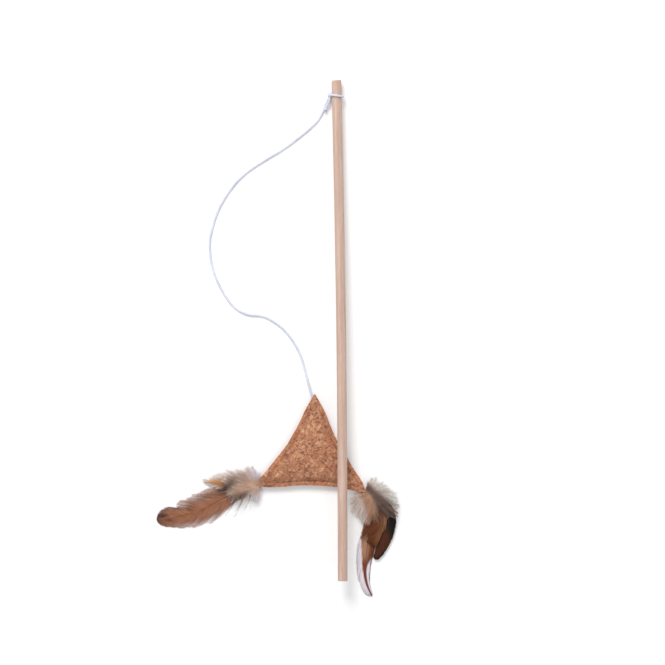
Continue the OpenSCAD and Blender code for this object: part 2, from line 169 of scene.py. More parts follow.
def piece(name, points, faces, body, slot, material, node, tint=None, uv=None, sharp=0):
    """A mesh in place of a CAD node, from points in millimetres and triangles. sharp is the
    angle from which edges are sharp, or 0 for none."""
    mesh = bpy.data.meshes.new(name)
    mesh.vertices.add(len(points))
    fill_in(mesh.vertices, "co", points * MM)
    mesh.loops.add(faces.size)
    fill_in(mesh.loops, "vertex_index", faces, np.int32)
    mesh.polygons.add(len(faces))
    fill_in(mesh.polygons, "loop_start", np.arange(0, faces.size, 3), np.int32)
    mesh.update(calc_edges=True)
    fill_in(mesh.polygons, "use_smooth", np.ones(len(faces)), bool)
    if tint is not None:
        made = mesh.color_attributes.new("tint", "FLOAT_COLOR", "POINT")
        fill_in(made.data, "color", np.column_stack([tint, np.ones(len(tint))]))
    if uv is not None:
        fill_in(mesh.uv_layers.new(name="OFBake").data, "uv", uv[faces.ravel()])
    if sharp:
        mesh.set_sharp_from_angle(angle=math.radians(sharp))
    mesh.materials.append(material)
    o = placed(name, mesh)
    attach(o, body)
    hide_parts(node)
    return o


def quads(rings, sides, closed=False):
    """Triangles between rings of points."""
    r = np.arange(rings if closed else rings - 1)[:, None]
    k = np.arange(sides)[None, :]
    a, b = r * sides + k, r * sides + (k + 1) % sides
    n = (r + 1) % rings * sides
    c, d = n + k, n + (k + 1) % sides
    return np.concatenate([np.stack([a, b, d], -1).reshape(-1, 3),
                           np.stack([a, d, c], -1).reshape(-1, 3)])


def fan(start, sides):
    """Triangles that close a ring."""
    k = np.arange(1, sides - 1)
    return np.stack([np.full_like(k, start), start + k, start + k + 1], 1)


def capped(rings, sides):
    """Triangles of an open tube with flat ends."""
    last = (rings - 1) * sides
    return np.concatenate([quads(rings, sides), fan(0, sides)[:, ::-1], fan(last, sides)])


def tube(line, radius, sides, relief=None, closed=False, start=(0.0, 0.0, 1.0)):
    """Points and triangles of a round tube along a line. relief is a share of the radius by
    run and angle, and start is the side from which the angle counts."""
    n = len(line)
    k = np.arange(n)
    ahead, behind = (k + 1) % n, k - 1
    if not closed:
        ahead, behind = np.minimum(k + 1, n - 1), np.maximum(k - 1, 0)
    tangent = unit(line[ahead] - line[behind])
    normal = np.zeros((n, 3))
    v = np.array(start, float)
    for i in range(n):
        v = unit(v - tangent[i] * (v @ tangent[i]))
        normal[i] = v
    turn = np.zeros(n)
    if closed:
        last = normal[-1] - tangent[0] * (normal[-1] @ tangent[0])
        other = np.cross(tangent[0], normal[0])
        turn = -math.atan2(last @ other, last @ normal[0]) * k / n
    side = np.cross(tangent, normal)
    a = full_turn(sides) + turn[:, None]
    r = np.broadcast_to(radius, n)[:, None] * np.ones_like(a)
    if relief is not None:
        r = r * (1 + relief(run_along(line)[:, None], a))
    points = (line[:, None] + normal[:, None] * (np.cos(a) * r)[..., None]
              + side[:, None] * (np.sin(a) * r)[..., None])
    return points.reshape(-1, 3), quads(n, sides, True) if closed else capped(n, sides)


def rounded_ends(line, radius):
    """Radii along a line that close in at its ends like a ball."""
    run = run_along(line)
    t = np.clip(np.minimum(run, run[-1] - run) / radius, 0, 1)
    return radius * np.sqrt(np.maximum(0.06, 1 - (1 - t) ** 2))


BRAID_CARRIERS, BRAID_PITCH, BRAID_DEPTH = 4, 1.05, 0.045


def braid(run, angle):
    """Relief of a fine braided cover: two sets of yarns that cross."""
    a = math.pi * run / BRAID_PITCH
    return BRAID_DEPTH * np.cos(BRAID_CARRIERS * angle + a) * np.cos(BRAID_CARRIERS * angle - a)


def joined(*parts):
    """Several (points, faces) as one."""
    points, faces, count = [], [], 0
    for p, f in parts:
        points.append(p)
        faces.append(f + count)
        count += len(p)
    return np.concatenate(points), np.concatenate(faces)


# Materials

class Nodes:
    """The nodes of a material or of the surroundings, made in a few words."""

    def __init__(self, owner):
        owner.use_nodes = True
        self.tree = owner.node_tree

    def put(self, socket, value):
        """Links an output to a socket, or sets the socket's value."""
        if isinstance(value, bpy.types.NodeSocket):
            self.tree.links.new(value, socket)
        else:
            socket.default_value = value

    def node(self, kind, inputs=(), **settings):
        node = self.tree.nodes.new(kind)
        for key, value in settings.items():
            setattr(node, key, value)
        for key, value in dict(inputs).items():
            self.put(node.inputs[key], value)
        return node

    def add(self, kind, inputs=(), out=0, **settings):
        """An output of a new node."""
        return self.node(kind, inputs, **settings).outputs[out]

    def math(self, operation, a, b):
        return self.add("ShaderNodeMath", {0: a, 1: b}, operation=operation)


class Graph(Nodes):
    """A material with one shader. Its sockets' names are given with _ for a space."""

    def __init__(self, name, roughness, **sockets):
        self.material = bpy.data.materials.new(name)
        super().__init__(self.material)
        self.shader = self.tree.nodes["Principled BSDF"]
        for socket, value in {"Roughness": roughness, **sockets}.items():
            self.put(self.shader.inputs[socket.replace("_", " ")], value)
        self.place = self.add("ShaderNodeTexCoord", out="Object")

    def stretched(self, y, z=1.0, turn=0.0, place=None):
        """Places in which a pattern is long in y and z where they are below 1."""
        return self.add("ShaderNodeMapping", {
            "Vector": place or self.place, "Scale": (1.0, 1 / y, 1 / z),
            "Rotation": (0, 0, math.radians(turn))}, vector_type="TEXTURE")

    def noise(self, scale, detail=3.0, roughness=0.5, place=None, distortion=0.0, out="Fac"):
        return self.add("ShaderNodeTexNoise", {
            "Vector": place or self.place, "Scale": scale, "Detail": detail,
            "Roughness": roughness, "Distortion": distortion}, out)

    def cells(self, scale, place):
        """An even random number from 0 to 1 for each cell of a broken pattern."""
        shade = self.add("ShaderNodeTexVoronoi", {"Vector": place, "Scale": scale}, "Color",
                         feature="F1")
        return self.add("ShaderNodeSeparateColor", {0: shade})

    def ramp(self, value, stops):
        """A colour ramp through (place, hexadecimal colour or grey) stops."""
        node = self.node("ShaderNodeValToRGB", {"Fac": value})
        elements = node.color_ramp.elements
        while len(elements) < len(stops):
            elements.new(0.5)
        for element, (at, shade) in zip(elements, stops):
            element.position = at
            element.color = rgba(shade)
        return node.outputs["Color"]

    def colours(self, share, a, b, kind="MIX"):
        """A mix of two colours, each an output or a hexadecimal colour."""
        a, b = (rgba(c) if isinstance(c, str) else c for c in (a, b))
        return self.add("ShaderNodeMix", {0: share, 6: a, 7: b}, 2, data_type="RGBA",
                        blend_type=kind)

    def times(self, base, *shades):
        for shade in shades:
            base = self.colours(1.0, base, shade, "MULTIPLY")
        return base

    def marked(self, base, mask, share, shade):
        """The base with a colour laid over it at a share of the mask."""
        return self.colours(self.math("MULTIPLY", mask, share), base, shade)

    def attribute(self, name, out="Color"):
        return self.add("ShaderNodeAttribute", (), out, attribute_name=name)

    def made(self, base, height, distance, strength):
        """The material, with its base colour and its bump."""
        normal = self.add("ShaderNodeBump", {
            "Height": height, "Distance": distance, "Strength": strength}, "Normal")
        self.put(self.shader.inputs["Base Color"], base)
        self.put(self.shader.inputs["Normal"], normal)
        return self.material


def wood_material():
    g = Graph("wood", 0.62)
    grain = g.stretched(0.03)
    broad = g.noise(420, 3, 0.55, grain, 0.6)
    fine = g.noise(2600, 4, 0.65, grain)
    pores = g.noise(3800, 2, 0.7, g.stretched(0.06))
    tone = g.ramp(broad, [(0.3, "c0a08f"), (0.5, "caab9b"), (0.72, "d6baab")])
    streaks = g.ramp(fine, [(0.32, 0.84), (0.55, 1.0), (0.75, 1.05)])
    dots = g.ramp(pores, [(0.24, 0.74), (0.36, 1.0)])
    relief = g.math("ADD", fine, g.math("MULTIPLY", pores, 0.8))
    return g.made(g.times(tone, streaks, dots), relief, 0.00006, 0.5)


def elastic_material():
    g = Graph("elastic_cover", 0.72)
    fuzz = g.noise(5200, 3, 0.6)
    tone = g.ramp(fuzz, [(0.25, "ced0e3"), (0.5, "dfe2f0"), (0.8, "eff2fa")])
    soil = g.ramp(g.noise(60, 2, 0.5), [(0.3, "e6e7ed"), (0.65, "ffffff")])
    return g.made(g.times(tone, soil), fuzz, 0.00005, 0.6)


def cork_material(name, seed):
    """Pressed cork: light flakes and dark slivers of a few millimetres in a ground of chips, and
    painted shade in the crease inside the margins.
    """
    g = Graph(name, 0.85, Specular_IOR_Level=0.25)
    shift = g.add("ShaderNodeVectorMath", {0: g.place, 1: (seed * 0.37, seed * 0.11, 0.0)},
                  operation="ADD")
    waves = g.noise(500, 3, 0.6, shift, out="Color")
    place = g.add("ShaderNodeVectorMath", {0: waves, 1: (0.0016, 0.0016, 0.0), 2: shift},
                  operation="MULTIPLY_ADD")
    flakes, crossed, chips, crumbs = (
        g.cells(scale, g.stretched(y, 0.25, turn, place)) for scale, y, turn in
        ((480, 0.45, 36), (590, 0.48, -40), (1000, 0.55, 80), (1900, 0.7, 10)))
    fine = g.noise(2600, 4, 0.7, shift)
    tone = g.ramp(flakes, [(0.0, "9a6550"), (0.25, "ad7257"), (0.6, "b97d5d"), (1.0, "c78d69")])
    other = g.ramp(crossed, [(0.0, "a06a54"), (0.3, "b07559"), (0.7, "bb8261"), (1.0, "c9916c")])
    ground = g.ramp(chips, [(0.0, "8a5a47"), (0.5, "b3795c"), (1.0, "cd9872")])
    base = g.colours(0.25, g.colours(0.5, tone, other), ground)
    for source, low, high, first, share, shade in (
            (flakes, 0.91, 0.94, 0.0, 0.42, "d6a880"), (crossed, 0.92, 0.94, 0.0, 0.5, "dbb08a"),
            (chips, 0.91, 0.94, 0.0, 0.4, "dfb48d"), (crumbs, 0.93, 0.96, 0.0, 0.35, "e2bb95"),
            (crossed, 0.05, 0.08, 1.0, 0.35, "6a4436"), (chips, 0.07, 0.1, 1.0, 0.5, "5f3c31"),
            (crumbs, 0.06, 0.1, 1.0, 0.5, "5a382d")):
        base = g.marked(base, g.ramp(source, [(low, first), (high, 1 - first)]), share, shade)
    speckle = g.ramp(fine, [(0.3, 0.82), (0.52, 1.0), (0.75, 1.1)])
    broad = g.ramp(g.noise(75, 3, 0.55, shift), [(0.35, 0.92), (0.65, 1.08)])
    pits = g.ramp(g.noise(560, 2, 0.5, shift), [(0.665, 0.0), (0.705, 1.0)])
    base = g.marked(g.times(base, speckle, broad), pits, 0.8, "2f201a")
    patch = g.ramp(g.noise(90, 2, 0.5), [(0.42, 0.1), (0.6, 1.0)])
    base = g.marked(base, g.math("MULTIPLY", g.attribute("rim", "Fac"), patch), 0.35, "c5734f")
    # Painted shade: a dark brown laid along the crease inside the margins, broken up by noise
    broken = g.ramp(g.noise(200, 2, 0.5, shift), [(0.35, 0.3), (0.6, 1.0)])
    crease = g.math("MULTIPLY", g.attribute("crease", "Fac"), broken)
    relief = g.math("ADD", g.math("MULTIPLY", chips, 0.5), fine)
    return g.made(g.marked(base, crease, 0.5, "6b4333"), g.math("SUBTRACT", relief, pits),
                  0.00018, 0.8)


def cork_edge_material():
    g = Graph("cork_edge", 0.9)
    tone = g.ramp(g.noise(1500, 4, 0.6), [(0.3, "4d3226"), (0.55, "7d5340"), (0.8, "a3714f")])
    return g.made(tone, g.noise(2600, 3), 0.0001, 0.6)


def wadding_material():
    g = Graph("wadding", 0.95)
    hair = g.noise(1600, 5, 0.7, distortion=2.0)
    return g.made(g.ramp(hair, [(0.3, "dcd9d0"), (0.7, "f4f2ec")]), hair, 0.0004, 0.8)


def glue_material():
    g = Graph("set_glue", 0.25, IOR=1.48, Subsurface_Weight=0.3,
              Subsurface_Radius=(0.002, 0.0016, 0.001))
    haze = g.ramp(g.noise(500, 3, 0.5), [(0.3, "d9cda6"), (0.7, "efe6c8")])
    return g.made(haze, g.noise(900, 2), 0.0001, 0.4)


def barb_material(name, roughness):
    """Feather barbs: each strand's colour is in its tint, broken up by fine noise."""
    g = Graph(name, roughness, Specular_IOR_Level=0.2)
    fine = g.ramp(g.noise(2400, 3, 0.6), [(0.25, 0.84), (0.5, 1.0), (0.8, 1.1)])
    return g.made(g.times(g.attribute("tint"), fine), g.noise(4200, 2), 0.00003, 0.4)


def quill_material():
    g = Graph("quill_horn", 0.38)
    streak = g.noise(900, 3, 0.5)
    horn = g.times(g.attribute("tint"), g.ramp(streak, [(0.3, 0.88), (0.7, 1.06)]))
    return g.made(horn, streak, 0.00004, 0.4)


WOOD = wood_material()
ELASTIC = elastic_material()
QUILL = quill_material()
BARBS = barb_material("barbs", 0.65)
DOWN = barb_material("down_hair", 0.9)


# The string comes first: the route of part.scad in plan, from the centre of the loop's knot
STRING_ROUTE = [
    (-1, -2), (-3.2, -6.1), (-5.3, -11.2), (-9.6, -18.8), (-16.2, -25.6), (-24.5, -32.4),
    (-33.5, -39.1), (-42.8, -45.1), (-52, -50.6), (-60.5, -55.7), (-68, -60.7), (-74.8, -66.6),
    (-80.6, -73.1), (-86, -80.4), (-90.9, -88.8), (-95, -98), (-97.5, -106), (-99.5, -114.5),
    (-100, -122.5), (-99.5, -130.5), (-98, -139), (-95.5, -147), (-92, -155), (-87.5, -163),
    (-82, -170.5), (-75.5, -175.5), (-68.5, -178.5), (-61.5, -179), (-55, -180.5), (-48, -184.5),
    (-41, -190), (-35, -197), (-30, -205), (-26.5, -212.5), (-24, -221), (-22, -229.5),
    (-20.5, -235), (-19.5, -239)]
# Shares of the way up to the knot's centre, at its first points, and to the seam, at its last
FROM_KNOT = np.array([1, 0.6, 0.15])
TO_SEAM = np.array([0.05, 0.25, 0.65, 0.95, 1])
STRING_SIDES = 24
LINE_STEP, BEND_STEP = 0.3, 0.2
KNOT_POINTS, LOOP_POINTS, WRAP_POINTS = 150, 120, 60


def elastic(name, shape, body, node):
    """A piece of the elastic string."""
    return piece(name, *shape, body, "elastic", ELASTIC, node)


up = np.full(len(STRING_ROUTE), STRING_R - KNOT_R)
up[:len(FROM_KNOT)] += FROM_KNOT * (KNOT_R - STRING_R)
up[-len(TO_SEAM):] += TO_SEAM * (SEAM_H - STRING_R)
route = np.concatenate([KNOT + np.column_stack([STRING_ROUTE, up]), [SWING]])
string_line = smooth_line(route, LINE_STEP)
string = elastic("elastic_string", tube(string_line, STRING_R, STRING_SIDES, braid), "string",
                 "string")

bend_line = smooth_line([SWING - END_DIR * STRING_R, SWING, (SWING + FLAP) / 2, FLAP,
                         FLAP + END_DIR * STRING_R], BEND_STEP)
elastic("elastic_bend", tube(bend_line, rounded_ends(bend_line, STRING_R), STRING_SIDES, braid),
        "bend", "string_bend")


def knot_line(centre, across, along, high):
    """The closed centreline of a tight overhand knot."""
    t = full_turn(KNOT_POINTS)
    return np.stack([centre[0] + across * (np.sin(t) + 2 * np.sin(2 * t)),
                     centre[1] + along * (np.cos(t) - 2 * np.cos(2 * t)),
                     centre[2] - high * np.sin(3 * t)], 1)


def on_rod(x, run, up):
    """A point given across the rod, along it from the grip end, and above its axis."""
    return np.stack([x, run * math.cos(ROD_TILT) + up * math.sin(ROD_TILT),
                     -run * math.sin(ROD_TILT) + up * math.cos(ROD_TILT)], -1)


# The loop slants across the rod, as it is drawn down to its knot
LOOP_SLANT = 0.7
turn = full_turn(LOOP_POINTS)
loop_line = on_rod(LOOP_R * np.cos(turn), LOOP_RUN - LOOP_SLANT * np.cos(turn),
                   LOOP_R * np.sin(turn))
elastic("elastic_loop", tube(loop_line, STRING_R, STRING_SIDES, braid, True, (1, 0, 0)), "loop",
        "string_loop")

# A wrap round the knot's waist, across the string that leaves it
KNOT_SIDES = 20
knot_at = KNOT + (0.3, 0.4, 0.1)
wrap_away, wrap_side = np.array([-0.42, -0.9, 0.0]), np.array([0.9, -0.42, 0.0])
wrap_turn = full_turn(WRAP_POINTS)[:, None]
wrap_line = (knot_at + wrap_side * 1.45 * np.cos(wrap_turn) + [0, 0, 1.15] * np.sin(wrap_turn)
             + wrap_away * 0.45 * np.cos(wrap_turn + 0.6))
elastic("elastic_knot", joined(
    tube(knot_line(knot_at, 0.5, 0.72, 0.66), 0.82, KNOT_SIDES, braid, True),
    tube(wrap_line, 0.8, KNOT_SIDES, braid, True)), "loop", "string_knot")

# The cut tail opens a little at its end, and frays
TAIL_ROUTE = [(0.2, -1.2, 0.13), (-0.2, -3, 0.5), (-1.5, -6.2, 0.42), (-2.9, -9, 0.25),
              (-3.7, -11.2, 0.2)]
FRAYED_YARNS = 26
tail_line = smooth_line([KNOT + (x, y, z * 2 * KNOT_R) for x, y, z in TAIL_ROUTE], LINE_STEP)
tail_r = STRING_R * (1 + 0.22 * ease(np.arange(len(tail_line)) / len(tail_line), 0.8, 1))
tail_parts = [tube(tail_line, tail_r, STRING_SIDES, braid)]
tail_end = unit(tail_line[-1] - tail_line[-4])
fray_rng = np.random.default_rng(3)
for _ in range(FRAYED_YARNS):
    spread = np.append(fray_rng.normal(0, 0.55, 2), fray_rng.normal(0, 0.4))
    root = tail_line[-1] - tail_end * 0.4 + spread * 0.55
    tip = root + tail_end * fray_rng.uniform(0.9, 2.0) + spread * 0.8
    middle = (root + tip) / 2 + fray_rng.normal(0, 0.15, 3)
    strand = smooth_line([root, middle, tip], 0.35)
    tail_parts.append(tube(strand, np.linspace(0.11, 0.05, len(strand)), 5))
elastic("elastic_tail", joined(*tail_parts), "loop", "string_tail")

HELD_L, END_KNOT_R = 14.0, 1.6
held_start = FLAP + END_DIR * (STRING_R + 0.3)
held_end = held_start + END_DIR * (HELD_L - END_KNOT_R)
held_line = smooth_line([held_start, held_start + END_DIR * 5, held_end], LINE_STEP)
elastic("elastic_anchor", joined(
    tube(held_line, STRING_R, STRING_SIDES, braid),
    tube(knot_line(held_end, 0.34, 0.34, 0.5), 0.62, 16, braid, True)), "toy", "string_end_knot")


# The rod: a lathe with the photographed bow of 1.3 mm, soft saw edges and a slanted far cut
ROD_BOW, ROD_EDGE = 1.3, 0.6
ROD_RINGS, ROD_SIDES = 260, 64
CENTRE_R = 0.05
arc = np.linspace(0.2, 1.57, 7)
edge_run, edge_r = ROD_EDGE * (1 - np.cos(arc)), ROD_R - ROD_EDGE * (1 - np.sin(arc))
half_run = np.concatenate([[0, 0], edge_run])
half_r = np.concatenate([[CENTRE_R, ROD_R - ROD_EDGE], edge_r])
rod_angle = full_turn(ROD_SIDES)
run = np.concatenate([half_run, np.linspace(2, ROD_L - 2, ROD_RINGS), ROD_L - half_run[::-1]])
run = run[:, None] + 0 * rod_angle
shape = np.concatenate([half_r, np.full(ROD_RINGS, ROD_R), half_r[::-1]])[:, None] + 0 * rod_angle
uneven = 0.025 * ripple(np.stack([3 * np.cos(rod_angle) + 0 * run, 3 * np.sin(rod_angle) + 0 * run,
                                  run / 12], -1), 5, 11)
shape = shape * (1 + uneven * (shape > 1) / ROD_R)
rod_x, rod_up = shape * np.cos(rod_angle), shape * np.sin(rod_angle)
cut = 0.3 * (rod_x / ROD_R - 0.6) * ease(run, ROD_L - 3, ROD_L)
bow = ROD_BOW * np.sin(math.pi * run / ROD_L)
piece("rod_dowel", on_rod(rod_x + bow, run + cut, rod_up).reshape(-1, 3),
      capped(len(run), ROD_SIDES)[:, ::-1], "rod", "rod_wood", WOOD, "wand_rod", sharp=60)


# The toy's plan, as in part.scad: corners l, r and a, with drawn-in edges
BOTTOM, LEFT, RIGHT = 89.0, 88.5, 90.5
TOY_TURN = math.radians(-4.4)
EDGE_DRAW, CROWN_H, BACK_H, SHEET_T, MARGIN_W = 3.4, 6.0, 4.6, 0.8, 3.5
QUILL_IN, QUILL_D = 6.0, 1.0
apex_x = (BOTTOM**2 + LEFT**2 - RIGHT**2) / (2 * BOTTOM)
CORNER_L, CORNER_R = np.array([0.0, 0.0]), np.array([BOTTOM, 0.0])
CORNER_A = np.array([apex_x, math.sqrt(LEFT**2 - apex_x**2)])
CORNERS = np.stack([CORNER_L, CORNER_R, CORNER_A])
MIDDLE = np.full((1, 3), 1 / 3)
ALTITUDES = BOTTOM * CORNER_A[1] / np.array([RIGHT, LEFT, BOTTOM])
IN_BOTTOM = np.array([0.0, 1.0])
IN_LEFT = np.array([CORNER_A[1], -apex_x]) / LEFT
IN_RIGHT = np.array([-CORNER_A[1], apex_x - BOTTOM]) / RIGHT
BOTTOM_EDGE = [(0, 0), (0.05, -0.35), (0.12, -0.48), (0.24, -0.12), (0.4, 0.52), (0.6, 0.78),
               (0.74, 0.62), (0.84, 0.3), (0.94, -0.22), (1, 0)]
LEFT_EDGE = [(0, 0), (0.08, -0.2), (0.16, 0.14), (0.25, 0.38), (0.35, 0.68), (0.46, 1),
             (0.55, 0.88), (0.7, 0.67), (0.8, 0.24), (0.88, 0.1), (1, 0)]
RIGHT_EDGE = [(0, 0), (0.05, -0.42), (0.1, -0.46), (0.17, -0.24), (0.24, 0), (0.4, 0.2),
              (0.55, 0.38), (0.62, 0.34), (0.7, 0.14), (0.78, -0.15), (0.85, -0.2), (1, 0)]
EDGES = ((0, 1, IN_BOTTOM, BOTTOM_EDGE), (0, 2, IN_LEFT, LEFT_EDGE), (1, 2, IN_RIGHT, RIGHT_EDGE))
entry_share = 1 - 4 / LEFT
ENTRY_LOCAL = (CORNER_A * entry_share
               + IN_LEFT * EDGE_DRAW * lookup(LEFT_EDGE, entry_share))
TURNED = np.array([[math.cos(TOY_TURN), -math.sin(TOY_TURN)],
                   [math.sin(TOY_TURN), math.cos(TOY_TURN)]])

# The ways from the two lower corners along which the feathers leave the toy
EAST = np.array([1.0, 0.0])
POCKETS = {"l": (CORNER_L, -unit(EAST + CORNER_A / LEFT)),
           "r": (CORNER_R, -unit((CORNER_A - CORNER_R) / RIGHT - EAST))}


def to_frame(plan, height):
    """Points of the toy's own plan and heights above its seam, in the frame."""
    xy = (plan - ENTRY_LOCAL) @ TURNED.T + ENTRY[:2]
    return np.concatenate([xy, (height + ENTRY[2])[..., None]], -1)


# In all that follows, b holds shares of the toy's three corners, one row a point

def drawn(b):
    """Plan points, with the toy's edges drawn in."""
    plan = b @ CORNERS
    for i, j, way, table in EDGES:
        both = b[:, i] + b[:, j]
        share = np.where(both > 1e-9, b[:, j] / np.maximum(both, 1e-9), 0)
        plan = plan + way * (EDGE_DRAW * both**2 * column(table, share))[:, None]
    return plan


def from_edge(b):
    return b.min(1) * ALTITUDES.mean()


def from_corners(b):
    return np.linalg.norm((b @ CORNERS)[:, None] - CORNERS, axis=2)


def inside(b):
    """How deep a point is inside the margins, rounded where they meet."""
    d = b * ALTITUDES - MARGIN_W
    good = d.min(1) > 1e-6
    return np.where(good, 1 / np.linalg.norm(1 / np.maximum(d, 1e-6), axis=1), 0)


def swell(b):
    """The crown of the filled toy, from 0 to 1, lower towards its upper corner."""
    u = 1 - np.minimum(1, inside(b) / inside(MIDDLE))
    return (1 - u * u) ** 0.85 * (1 - 0.27 * np.maximum(0, (b[:, 2] - 1 / 3) * 1.5))


MOUTH_H, QUILL_H, KNOT_H = 1.2, 1.1, 1.92
KNOT_DEPTH = 4 + HELD_L - STRING_R - END_KNOT_R
CORNER_ROOM = [(2.4 * QUILL_IN, QUILL_H), (3.4 * QUILL_IN, 0)]
APEX_ROOM = [(KNOT_DEPTH - 3 * END_KNOT_R, MOUTH_H), (KNOT_DEPTH - 2 * END_KNOT_R, KNOT_H),
             (KNOT_DEPTH + 2 * END_KNOT_R, KNOT_H), (KNOT_DEPTH + 7 * END_KNOT_R, 0)]


def room(b):
    """How far the quills and the string's end keep the two sheets from the seam."""
    tables = (CORNER_ROOM, CORNER_ROOM, APEX_ROOM)
    return np.max([lookup(t, x) for t, x in zip(tables, from_corners(b).T)], axis=0)


GLUE_L = 1.3 * QUILL_IN
STRING_WAY_W, QUILL_WAY_W = 1.2, 2.2


def closing(b):
    """How far the two sheets stay apart near their edges: open where the string and the quills
    pass, and drawn together beside them."""
    p = b @ CORNERS
    keep = np.zeros(len(b))
    for place, way, half in ((ENTRY_LOCAL, END_DIR[:2] @ TURNED, STRING_WAY_W),
                             (*POCKETS["l"], QUILL_WAY_W), (*POCKETS["r"], QUILL_WAY_W)):
        aside = np.abs((p[:, 0] - place[0]) * way[1] - (p[:, 1] - place[1]) * way[0])
        keep = np.maximum(keep, 1 - ease(aside, half, half + 0.8))
    wide = 1.0 + 1.6 * ease(from_corners(b).min(1), GLUE_L + 0.5, GLUE_L + 4)
    return keep + (1 - keep) * ease(from_edge(b) / wide, 0.2, 1.0)


SIDE_STEPS = 96
ROUND = 3 * SIDE_STEPS


def toy_grid(rings):
    """Points on rings of the triangle, each a share of the way out, and its middle."""
    k = np.arange(ROUND)
    side, u = k // SIDE_STEPS, k % SIDE_STEPS / SIDE_STEPS
    u = 0.5 * u + 0.5 * ease(u)
    ends = np.eye(3)
    outline = ends[side] * (1 - u)[:, None] + ends[(side + 1) % 3] * u[:, None]
    return np.concatenate([MIDDLE * (1 - f) + outline * f for f in rings] + [MIDDLE])


def shell_faces(rings):
    """Triangles of an upper and a lower grid and of the rim between, and the rim's count."""
    low = rings * ROUND + 1
    top = quads(rings, ROUND)[:, ::-1]
    k = np.arange(ROUND)
    ahead = (k + 1) % ROUND
    last = (rings - 1) * ROUND
    cap = np.stack([last + k, np.full_like(k, rings * ROUND), last + ahead], 1)[:, ::-1]
    bottom = np.concatenate([top, cap])[:, ::-1] + low
    rim = np.concatenate([np.stack([k, low + k, low + ahead], 1),
                          np.stack([k, low + ahead, ahead], 1)])
    return np.concatenate([top, cap, bottom, rim]), len(rim)


MARGIN_SHARE = 1 - MARGIN_W / (ALTITUDES[2] / 3)
PANEL_RINGS = np.concatenate([np.linspace(1, MARGIN_SHARE, 8),
                              MARGIN_SHARE * np.linspace(0.985, 0.03, 44)])
FLOOR_GAP, LEAST_T = 0.02, 0.3


def panel(name, material, heights, out, seed, node):
    """One cork sheet over the whole triangle. out is 1 for the front and -1 for the back."""
    b = toy_grid(PANEL_RINGS)
    plan = drawn(b)
    edge_run = from_edge(b)
    rim = 1 - ease(edge_run, 0, MARGIN_W)
    sway = ripple(plan, 5, seed)[:, None] * 0.16 + ripple(plan, 1.6, seed + 1)[:, None] * 0.07
    plan = plan + unit(plan - CORNERS.mean(0)) * sway * rim[:, None]
    inner = heights(b) * closing(b)
    lumps = 0.13 * ripple(plan, 9, seed + 2) + 0.05 * ripple(plan, 3, seed + 3)
    lift = np.minimum(0.25, lumps) * ease(inner, 0.4, 2.0)
    wave = 0.14 * ripple(plan, 14, 40) * (1 - ease(inner, 0.2, 1.6))
    roll = 0.28 * np.exp(-((edge_run - 1.9) / 0.9) ** 2) * (1 - ease(inner, 0.1, 0.6))
    # A band just inside the margins: the sheet dents slightly along it, and the cork is painted
    # with shade there
    crease = np.exp(-((edge_run - MARGIN_W - 0.3) / 0.75) ** 2)
    near = out * (inner + lift + roll - 0.12 * crease * (inner < 1.5)) + wave
    far = near + out * SHEET_T
    if out < 0:
        far = np.maximum(far, FLOOR_Z - ENTRY[2] + FLOOR_GAP)
        near = np.maximum(near, far + LEAST_T)
    upper, lower = (far, near) if out > 0 else (near, far)
    points = np.concatenate([to_frame(plan, upper), to_frame(plan, lower)])
    faces, edge = shell_faces(len(PANEL_RINGS))
    o = piece(name, points, faces, "toy", "cork", material, node, sharp=50)
    corner = 1 - ease(b.max(1), 0.82, 0.94)
    # The second mark tells the cork material where to paint the crease's shade
    for mark, tone in (("rim", (1 - ease(edge_run, 2.6, 4.0)) * corner), ("crease", crease)):
        made = o.data.attributes.new(mark, "FLOAT", "POINT")
        fill_in(made.data, "value", np.tile(tone, 2))
    o.data.materials.append(CORK_EDGE)
    at_edge = np.arange(len(faces)) >= len(faces) - edge
    fill_in(o.data.polygons, "material_index", at_edge, np.int32)


def front_heights(b):
    a, c = room(b), (CROWN_H - SHEET_T) * swell(b)
    return np.maximum(a, c) + 0.25 * np.exp(-((a - c) / 0.5) ** 2) * (np.minimum(a, c) > 0.05)


def back_heights(b):
    return np.minimum(SEAM_H - SHEET_T, np.maximum(room(b), (BACK_H - SHEET_T) * swell(b)))


CORK_EDGE = cork_edge_material()
panel("cork_front", cork_material("cork_front", 1), front_heights, 1, 21, "front_panel")
panel("cork_back", cork_material("cork_back", 2), back_heights, -1, 31, "back_panel")

WAD_RINGS = np.linspace(1, 0.04, 22)
WAD_CORNER, WAD_SIDE = 0.56, 0.78
WAD_GAP, WAD_LEAST, WAD_INSET = 0.5, 0.3, 0.12


def wadding():
    """The loose filling, clear of both sheets."""
    u = ease(np.arange(ROUND) % SIDE_STEPS / SIDE_STEPS)
    reach = WAD_CORNER + (WAD_SIDE - WAD_CORNER) * 4 * u * (1 - u)
    outline = (toy_grid([1.0])[:-1] - MIDDLE) * reach[:, None]
    b = np.concatenate([outline * f + MIDDLE for f in WAD_RINGS] + [MIDDLE])
    plan = drawn(b)
    fluff = 0.12 * ripple(plan, 2.5, 51) + 0.1 * ripple(plan, 6, 52)
    top = np.maximum(front_heights(b) - WAD_GAP, WAD_LEAST) - WAD_INSET + fluff
    low = -np.maximum(back_heights(b) - WAD_GAP, WAD_LEAST) + WAD_INSET + fluff * 0.6
    points = np.concatenate([to_frame(plan, top), to_frame(plan, low)])
    o = piece("wadding_fill", points, shell_faces(len(WAD_RINGS))[0], "toy", "wadding",
              wadding_material(), "filling")


wadding()
GLUE = glue_material()
for node in ("apex_glue", "left_glue", "right_glue"):
    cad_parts[node].data.materials.clear()
    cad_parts[node].data.materials.append(GLUE)


# Feathers. A strand is a thin three-sided prism that tapers to its tip

